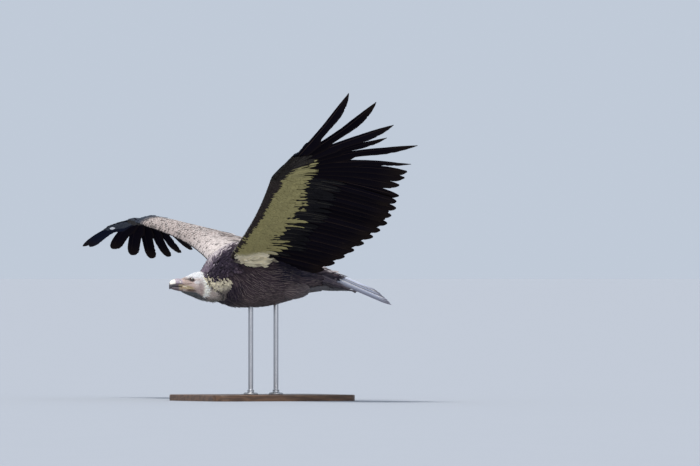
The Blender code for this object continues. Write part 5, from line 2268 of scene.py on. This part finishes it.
    def eyeball(self, side: Side) -> Pieces:
        """Build one eye and its lids.

        Args:
            side: the eye's side.

        Returns:
            The ball and the lids.
        """
        centre, word = side.place(self.eye), side.word
        look = unit((-0.18, side.value, 0.04))
        level = unit(np.cross((0.0, 0.0, 1.0), look))
        axes = np.stack((level, np.cross(look, level), look))
        polar, ring = np.linspace(math.pi, 0.03, 26)[:, None], turns(40)
        sphere = np.stack(np.broadcast_arrays(np.sin(polar) * np.cos(ring),
                                              np.sin(polar) * np.sin(ring), np.cos(polar)), -1)
        cornea = self.eye_radius * (1 + 0.04 * bell(polar, 0.5))[..., None]
        vane = np.stack(np.broadcast_arrays(polar / 1.35, np.abs(ring - math.pi), 0.0), -1)
        ball, lids = Pile(f"eyeball_{word}"), Pile(f"eyelids_{word}")
        ball.solid(centre + cornea * (sphere @ axes), 0.1, vane)
        arc, share = np.linspace(-1.0, 1.0, 40)[:, None], np.linspace(0.0, 1.0, 8)
        dome, wide = np.sqrt(np.maximum(0.0, 1 - arc**2)), 0.98 * arc * (1 + 0.10 * share)
        for sign, opening, width, thick in self.lids:
            tall = sign * (opening * dome * (1 - 0.25 * arc * (sign > 0))
                           + width * share * (0.35 + 0.65 * dome))
            depth = np.sqrt(np.maximum(0.02, 1 - np.clip(wide**2 * 0.80 + tall**2, 0, 0.98)))
            shell = 1.05 + 0.10 * np.sin(share * math.pi) - 0.05 * share
            sheet = (np.stack((wide * 0.92, tall, depth), -1) @ axes) * shell[:, None]
            rings = doubled(sheet, sheet * (1 - thick / self.eye_radius))
            rings = rings * self.eye_radius + centre
            lids.solid(rings[:, ::-1] if (sign > 0) == (side is Side.LEFT) else rings, self.lid)
        return [ball.build(EyeFinish(f"eye_{word}_gloss"), "eye", f"eye_{word}"),
                lids.build(SkinFinish(f"lid_skin_{word}", 0.4), "skin")]

    def build(self) -> Pieces:
        """Build the head's pieces over the skin.

        Returns:
            The pieces.
        """
        made = [self.mandible("bill_hooked_upper", self.upper, "bill_upper", True),
                self.mandible("bill_under", self.lower, "bill_lower", False), self.cere()]
        for side in Side:
            made += self.eyeball(side)
        return made + [self.down()]


@dataclass
class Ruff:
    """The ragged collar of cream lanceolate feathers round the neck's base."""

    form: BodyForm
    cream: Triple = (0.600, 0.530, 0.370)
    shade: Triple = (0.110, 0.088, 0.080)
    slopes: tuple = ((0, 0), (25, 35), (60, 50), (100, 45), (140, 25), (180, 0))
    rows: int = 10
    gap: float = 0.0046

    def build(self) -> Pieces:
        """Lay the collar and return the piece.

        Returns:
            The pieces.
        """
        rng = np.random.default_rng(21)
        shares = np.linspace(0.02, 1.0, self.rows)
        f, a, _ = grid(shares, (0.0, math.tau), self.gap, 0.34, rng, 0.45)
        # the first row is a dark line of short feathers where the ruff meets the neck: painted
        # shade in that seam
        count, away, seam_shade = len(f), COLLAR.away(a), f < 0.07
        side = np.where(np.cos(a) < 0, 1.0, -1.0)
        slope = np.radians(np.interp(away, *zip(*self.slopes)))
        turn = slope * side + rng.normal(0, 0.09, count)
        start, end = COLLAR.front(a), COLLAR.back(a)
        tip = start + np.clip(f, 0, 1) * (end - start) + rng.normal(0, 0.0022, count)
        tip = np.where(seam_shade, start + 0.0015, tip)
        grown = np.where(seam_shade, 0.0062, rng.uniform(0.017, 0.025, count))
        x = tip - grown * np.cos(turn)
        a = a - side * grown * np.sin(np.abs(turn)) / 0.075
        lay = Lay(x, a, grown, rng.uniform(0.0060, 0.0090, count), turn, 0.0030 * seam_shade - 0.0010,
                  rng.normal(0.0045, 0.0006, count) + 0.0022 * seam_shade, bow=0.05, seed=22)
        lit = np.clip(fade(132, 108, away) + rng.normal(0, 0.08, count), 0, 1) * ~seam_shade
        lit = lit * np.where(rng.random(count) < 0.15, 0.85, 1.0) * (1 - 0.35 * fade(0.7, 1.0, f))
        tone = mixed(self.shade, self.cream, lit) * rng.uniform(0.88, 1.10, (count, 1))
        kept = end - start > 0.006
        # the seam row is darkened further, painted shade
        tone = (tone * np.where(seam_shade, 0.35, 1.0)[:, None])[kept]
        marks = Marks.laid(np.minimum(tone, 0.9), np.minimum(tone * 1.2, 0.9), 0.4, tone * 0.6,
                           0.20)
        pile = Pile("ruff_collar")
        lay_vanes(pile, self.form.point, lay.kept(kept), Cut(0.5, 0.3, 0.40, 0.8, 7, 0.05), marks,
                  wrapped(a, 0.02 + 0.9 * (x + 0.245) / 0.09)[kept])
        return [pile.build(PlumeFinish("ruff_feathers", barbs=20.0, sheen=0.2), "ruff")]


# ---------------------------------------------------------------- skin
@dataclass
class Skin:
    """One skin under the plumage: trunk and arms melted together, and the modelled head."""

    form: BodyForm
    head: Head
    wings: tuple[WingForm, ...]
    depth: float = 0.0065
    voxel: float = 0.0045
    arm_cut: tuple = (0.33, 0.26, 0.19, 0.13, 0.08, 0.045, 0.02)
    hand_cut: tuple = (0.95, 0.7, 0.45, 0.22, 0.1)
    arm_tone: Triple = (0.16, 0.13, 0.11)

    def lofts(self) -> list[Array]:
        """Return the rings of trunk, arms and hands, sunk by the coat's depth.

        Returns:
            The rings of each loft.
        """
        x = np.linspace(-0.222, 0.262, 60)[:, None]
        made = [self.form.banked(self.form.flat(x, turns(40), self.depth))]
        t, s = np.array(self.arm_cut), np.linspace(-0.06, 1.03, 44)[:, None]
        r = np.linspace(-0.05, 0.94, 20)[:, None]
        for wing in self.wings:
            made.append(doubled(*(wing.arm_point(s, t, face.value * np.maximum(
                wing.arm_depth(s, t, face) - 0.004, 0.0028)) for face in Face)))
            y = wing.depth(r) * self.hand_cut + 0.002
            x = r * wing.hand_length + y / math.tan(wing.root_angle) * (1 - r)
            made.append(doubled(*(wing.hand_point(x, y, face.value * np.maximum(
                wing.hand_thick(x, y, face) - 0.003, 0.0025)) for face in Face)))
        return made

    def core(self) -> tuple[Array, list[list[int]]]:
        """Return the points and faces of the lofts, melted into one smooth skin.

        Returns:
            The points and the faces.
        """
        lofts = self.lofts()
        firsts = np.cumsum([0] + [rings[..., 0].size for rings in lofts])
        faces = [face for rings, first in zip(lofts, firsts)
                 for face in tube_faces(first, *rings.shape[:2])]
        points = np.concatenate([rings.reshape(-1, 3) for rings in lofts])
        mesh = bpy.data.meshes.new("skin_core")
        mesh.from_pydata(raised(points).tolist(), [], faces)
        core = bpy.data.objects.new("skin_core", mesh)
        bpy.context.scene.collection.objects.link(core)
        join = core.modifiers.new("join", "REMESH")
        join.mode, join.voxel_size, join.use_smooth_shade = "VOXEL", self.voxel, True
        calm = core.modifiers.new("calm", "SMOOTH")
        calm.factor, calm.iterations = 0.5, 6
        done = bpy.data.meshes.new_from_object(
            core.evaluated_get(bpy.context.evaluated_depsgraph_get()))
        bpy.data.objects.remove(core)
        spots = np.empty(len(done.vertices) * 3)
        done.vertices.foreach_get("co", spots)
        return spots.reshape(-1, 3) - (0, 0, TRUNK_HEIGHT), [list(p.vertices)
                                                             for p in done.polygons]

    def build(self) -> Pieces:
        """Put the modelled head on the melted skin and return the piece.

        Returns:
            The pieces.
        """
        spots, faces = self.core()
        tone = BodyMarks().tone(spots[:, 0], np.arctan2(spots[:, 2] - 0.03, spots[:, 1]))
        tone = mixed(tone, self.arm_tone, fade(0.12, 0.16, np.abs(spots[:, 1])))
        head, head_tone = self.head.skin_grid()
        faces += tube_faces(len(spots), *head.shape[:2])
        mesh = bpy.data.meshes.new("skin")
        points = raised(np.concatenate((spots, head.reshape(-1, 3))))
        mesh.from_pydata(points.tolist(), [], faces)
        mesh.polygons.foreach_set("use_smooth", np.ones(len(mesh.polygons), bool))
        colours = np.clip(np.concatenate((tone, head_tone.reshape(-1, 3))), 0, 1)
        colours = np.column_stack((colours, np.ones(len(colours))))
        layer = mesh.attributes.new("tone", "FLOAT_COLOR", "POINT")
        layer.data.foreach_set("color", colours.astype(np.float32).ravel())
        nodes = ["trunk", "ruff", "neck", "head", "undertail_coverts", "thigh_left", "thigh_right"]
        nodes += [f"{part}_{wing.side.word}" for wing in self.wings
                  for part in ("upper_arm", "forearm", "hand")]
        return [settle(mesh, SkinFinish(), "body", *nodes)]


# ---------------------------------------------------------------- legs
@dataclass
class Leg:
    """A scaled shank and a foot with long claws, stretched back."""

    form: BodyForm
    side: Side
    ankle: Triple = (0.246, 0.027, -0.017)
    toes: tuple = (
        # length, degrees outward, radius
        (0.092, 1.0, 0.0056), (0.072, 7.0, 0.0050), (0.068, -7.0, 0.0050))
    shank_radius: float = 0.0085
    around: int = 18
    # partly the feet's own dark grey, partly painted shade
    grey: Triple = (0.075, 0.068, 0.072)
    claw: Triple = (0.030, 0.026, 0.026)

    def scaled(self, pile: Pile, path: Array, radii: Array, scutes: float) -> None:
        """Add a tube whose upper side carries overlapping scutes.

        Args:
            pile: what it is added to.
            path: its middle line.
            radii: the radius at each of its points.
            scutes: how long one scute is.
        """
        gone = np.append(0.0, np.cumsum(np.linalg.norm(np.diff(path, axis=0), axis=1)))
        saw = (gone / scutes % 1.0)[:, None]
        swell = 1 + 0.09 * saw**2 * (0.4 + 0.6 * np.maximum(np.sin(turns(self.around)), 0))
        middle = path[:, None]
        rings = middle + (tube_rings(path, radii, self.around) - middle) * swell[..., None]
        pile.solid(rings, np.array(self.grey) * (0.62 + 0.5 * saw[..., None]))

    def build(self) -> Pieces:
        """Build shank, foot and claws.

        Returns:
            The pieces.
        """
        word = self.side.word
        heel, ankle = self.side.place(HEEL), self.side.place(self.ankle)
        shank, foot, claws = (Pile(f"{part}_{word}") for part in ("shank", "toes", "claws"))
        share = np.linspace(0.0, 1.0, 46)
        path = self.form.banked(heel + (ankle - heel) * share[:, None])
        self.scaled(shank, path, self.shank_radius * (1 + 0.12 * share**4), 0.0052)
        t = np.linspace(0.0, 1.0, 60)
        flesh, tip = t < 0.80, t >= 0.77
        joints = (1 + 0.10 * np.abs(np.sin(t * math.pi * 3.3))) * np.where(t < 0.05, 1.1, 1.0)
        drop = 0.004 * np.sin(math.pi * t * 0.8) + 0.06 * np.maximum(0.0, t - 0.7) ** 2
        thin = (1 - np.linspace(0.0, 1.0, tip.sum())) ** 0.7
        for reach, spread, radius in self.toes:
            turn = math.radians(spread * self.side.value) * (0.4 + 0.6 * t)
            line = np.stack((0.001 + reach * t * np.cos(turn), reach * t * np.sin(turn), -drop), -1)
            line = self.form.banked(ankle + line)
            radii = radius * (1 - 0.35 * np.clip(t / 0.8, 0, 1)) * joints
            self.scaled(foot, line[flesh], radii[flesh], 0.0048)
            claws.solid(tube_rings(line[tip], radius * 0.62 * thin + 0.0004, 14, 1.15), self.claw)
        scaly = SkinFinish(f"scaled_leg_{word}", 0.5)
        return [shank.build(scaly, "skin", f"tarsus_{word}"),
                foot.build(scaly, "skin", f"foot_{word}"),
                claws.build(HornFinish(f"claw_horn_{word}", 0.3), "horn")]


@dataclass
class ThighCoat:
    """The loose feathers of a thigh, streaming back along the belly."""

    form: BodyForm
    side: Side
    radius: Pair = (0.033, 0.005)

    def surface(self, t: Array, a: Array, h: Array) -> Array:
        """Return a point of the thigh at a fraction of its length, an angle and a height.

        Args:
            t: fractions of the thigh's length.
            a: angles round it.
            h: heights above it.

        Returns:
            The points.
        """
        t, a, h = (value[..., None] for value in np.broadcast_arrays(t, a, h))
        hip, heel = self.side.place(HIP), self.side.place(HEEL)
        rear = np.sqrt(np.maximum(0.0, 1 - ((t - 0.3) / 0.7) ** 2))
        full = np.clip(np.where(t > 0.3, rear, 0.55 + 1.5 * t), 0, 1)
        thick, thin = self.radius
        along = unit(heel - hip)
        level = unit(np.cross((0.0, 0.0, 1.0), along))
        up = np.cross(along, level)
        return self.form.banked(hip + (heel - hip) * t + (thin + (thick - thin) * full + h)
                                * (np.cos(a) * level + np.sin(a) * up))

    def build(self) -> Pieces:
        """Lay the feathers and return the piece.

        Returns:
            The pieces.
        """
        rng = np.random.default_rng(61)
        t, a, _ = grid(np.linspace(0.92, 0.02, 12), (0.0, math.tau), 0.010, 0.20, rng, 0.35)
        count, look = len(t), BodyMarks()
        tone = look.belly * rng.uniform(0.76, 1.24, (count, 1))
        lay = Lay(t, a, rng.uniform(0.038, 0.055, count), rng.uniform(0.011, 0.015, count),
                  rng.normal(0, 0.12, count), -0.003, 0.0055, bow=0.10, seed=62)
        marks = Marks.laid(tone, tone * 1.6, 0.3, look.streak, rng.uniform(0.3, 0.7, count))
        pile = Pile(f"thigh_plumage_{self.side.word}")
        lay_vanes(pile, self.surface, lay, Cut(0.5, 0.4, 0.35, 0.75, 8), marks,
                  wrapped(a, 0.02 + 0.96 * t))
        finish = PlumeFinish(f"thigh_feathers_{self.side.word}", shaft_width=0.2)
        return [pile.build(finish, "body")]


# ---------------------------------------------------------------- stand
@dataclass
class Stand:
    """A wooden board with eased edges and two turned steel rods in collars."""

    size: Triple = (0.56, 0.44, 0.022)
    corner: float = 0.05
    ease: float = 0.004
    rod_radius: float = 0.009
    rod_x: Pair = (-0.045, 0.055)
    rod_low: float = -0.15
    rod_top: float = -0.055
    flange: Pair = (0.026, 0.007)
    bevel: float = 0.0008
    gap: float = 0.0003

    def piece(self, name: str, rings: Array, tone: float, finish: Finish, slot: str,
              node: str) -> bpy.types.Object:
        """Build one piece of the stand with crisp flat faces.

        Args:
            name: its name.
            rings: its points.
            tone: how light it is.
            finish: its finish.
            slot: a slot name, passed on to Pile.build.
            node: the solid that it stands for.

        Returns:
            The piece.
        """
        pile = Pile(name)
        pile.solid(rings, tone)
        piece = pile.build(finish, slot, node)
        piece.modifiers.new("shade", "WEIGHTED_NORMAL").keep_sharp = True
        return piece

    def base(self) -> bpy.types.Object:
        """Build the board, its upper edge eased.

        Returns:
            The piece.
        """
        length, width, height = self.size
        levels = [(0.0, 0.0015), (0.0008, 0.0)]
        levels += [(height - self.ease * (1 - math.sin(a)), self.ease * (1 - math.cos(a)))
                   for a in np.linspace(0, math.pi / 2, 7)]
        levels += [(height, self.ease + 0.02), (height, self.ease + 0.04)]
        corners = np.repeat(((1, 1), (-1, 1), (-1, -1), (1, -1)), 13, 0)
        a = np.concatenate([(start + np.arange(13) / 12) * math.pi / 2 for start in range(4)])
        loops = []
        for z, inset in levels:
            radius = max(self.corner - inset, 0.004)
            reach = np.array((length / 2, width / 2)) - inset - radius
            flat = corners * reach + radius * np.stack((np.cos(a), np.sin(a)), -1)
            loops.append(np.column_stack((flat, np.full(len(a), z - TRUNK_HEIGHT))))
        return self.piece("stand_board", np.array(loops), 0.2, WoodFinish(), "base", "stand_base")

    def rod(self, number: int) -> bpy.types.Object:
        """Build one rod with its collar and set screw groove.

        Args:
            number: which rod, from 1.

        Returns:
            The piece.
        """
        floor = self.size[2] + self.gap - TRUNK_HEIGHT
        (wide, tall), r = self.flange, self.rod_radius
        low = [(wide - self.bevel, 0.0), (wide, self.bevel), (wide, tall * 0.5),
               (wide - 0.0006, tall * 0.62), (wide * 0.86, tall * 0.95), (wide * 0.82, tall),
               (r * 1.5, tall), (r * 1.38, tall + 0.0006)]
        neck = [(1.36, 1.5), (1.28, 1.56), (1.28, 1.75), (1.36, 1.81), (1.36, 2.2), (1.25, 2.35),
                (1.0, 2.4), (1.0, 3.0)]
        profile = [(p, floor + z) for p, z in low + [(r * p, tall * z) for p, z in neck]]
        p, z = np.transpose(profile + [(r, self.rod_low), (r, self.rod_top)])[..., None]
        a = turns(48)
        rings = np.stack(np.broadcast_arrays(self.rod_x[number - 1] + p * np.cos(a),
                                             p * np.sin(a), z), -1)
        return self.piece(f"stand_rod_{number}_turned", rings, 0.5,
                          SteelFinish(f"brushed_steel_{number}"), "stand", f"stand_rod_{number}")

    def build(self) -> Pieces:
        """Build the whole stand."""
        return [self.base()] + [self.rod(n + 1) for n in range(len(self.rod_x))]


# ---------------------------------------------------------------- studio
@dataclass
class Studio:
    """Pale floor, soft light and the level telephoto camera."""

    aim: Triple = (0.2823, -0.1375, 0.599)
    azimuth: float = math.radians(-25.98)
    distance: float = 60.0
    frame_width: float = 2.5
    floor_radius: float = 160.0
    sky: Quad = (0.66, 0.74, 0.86, 1.0)
    sky_strength: float = 0.80

    def floor(self) -> None:
        """Lay a wide pale floor that isn't part of the bird."""
        steps, around = 12, 96
        a = turns(around)
        circle = np.stack((np.cos(a), np.sin(a), 0 * a), -1)
        radii = self.floor_radius * (np.arange(1, steps + 1) / steps) ** 3
        points = np.concatenate((np.zeros((1, 3)), np.multiply.outer(radii, circle).reshape(-1, 3)))
        faces = [(0, 1 + k, 1 + (k + 1) % around) for k in range(around)]
        for low in range(1, 1 + (steps - 1) * around, around):
            high = low + around
            faces += [(low + k, high + k, high + (k + 1) % around, low + (k + 1) % around)
                      for k in range(around)]
        mesh = bpy.data.meshes.new("studio_floor")
        mesh.from_pydata(points.tolist(), [], faces)
        mesh.materials.append(FloorFinish().material())
        floor = bpy.data.objects.new("studio_floor", mesh)
        bpy.context.scene.collection.objects.link(floor)

    def lamp(self, name: str, direction: Triple, strength: float, angle: float,
             colour: Triple) -> None:
        """Add a broad distant lamp.

        Args:
            name: its name.
            direction: where it shines to.
            strength: how strong it is.
            angle: how wide it looks, in degrees.
            colour: its colour.
        """
        data = bpy.data.lights.new(name, "SUN")
        data.energy, data.angle, data.color = strength, math.radians(angle), colour
        lamp = bpy.data.objects.new(name, data)
        lamp.rotation_mode = "QUATERNION"
        lamp.rotation_quaternion = Vector(direction).to_track_quat("-Z", "Y")
        bpy.context.scene.collection.objects.link(lamp)

    def light(self) -> None:
        """Light the studio softly from high on the far side, with a pale surround."""
        self.lamp("key_light", (0.30, 0.22, -1.0), 3.0, 12.0, (1.0, 0.97, 0.93))
        self.lamp("front_fill", (0.30, 1.0, -0.35), 0.80, 50.0, (0.98, 0.98, 1.0))
        world = bpy.data.worlds.new("studio_air")
        world.use_nodes = True
        sky = world.node_tree.nodes["Background"]
        sky.inputs["Color"].default_value = self.sky
        sky.inputs["Strength"].default_value = self.sky_strength
        bpy.context.scene.world = world
        bpy.context.scene.view_settings.view_transform = "Standard"

    def camera(self) -> None:
        """Set the camera level, far off and to the bird's left front."""
        data = bpy.data.cameras.new("camera")
        data.sensor_width = 36.0
        data.lens = data.sensor_width * self.distance / self.frame_width
        data.clip_start, data.clip_end = 1.0, 1000.0
        camera = bpy.data.objects.new("camera", data)
        back = Vector((math.sin(self.azimuth), -math.cos(self.azimuth), 0.0))
        camera.location = Vector(self.aim) + back * self.distance
        camera.rotation_mode = "QUATERNION"
        camera.rotation_quaternion = (-back).to_track_quat("-Z", "Y")
        bpy.context.scene.collection.objects.link(camera)
        bpy.context.scene.camera = camera

    def build(self) -> None:
        """Set up floor, light and camera."""
        self.floor()
        self.light()
        self.camera()


# ---------------------------------------------------------------- the whole
def main() -> None:
    """Build every sub-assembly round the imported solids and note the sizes."""
    logging.basicConfig(level=logging.INFO, format="%(name)s: %(message)s")
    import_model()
    Studio().build()
    form, wings = BodyForm(), (LEFT_WING, RIGHT_WING)
    head = Head(form)
    makers: list = [Skin(form, head, wings), head, Ruff(form), BodyCoat(form), Tail(), Stand()]
    for side in Side:
        makers += [Leg(form, side), ThighCoat(form, side)]
    for wing in wings:
        makers += [WingCoat(wing), FlightFeathers(wing, wing.side is Side.RIGHT)]
    total = 0
    for maker in makers:
        for piece in maker.build():
            size = sum(len(p.vertices) - 2 for p in piece.data.polygons)
            total += size
            log.info("%s: %s, %d triangles", type(maker).__name__, piece.name, size)
    log.info("%d triangles in all", total)


if __name__ == "__main__":
    main()
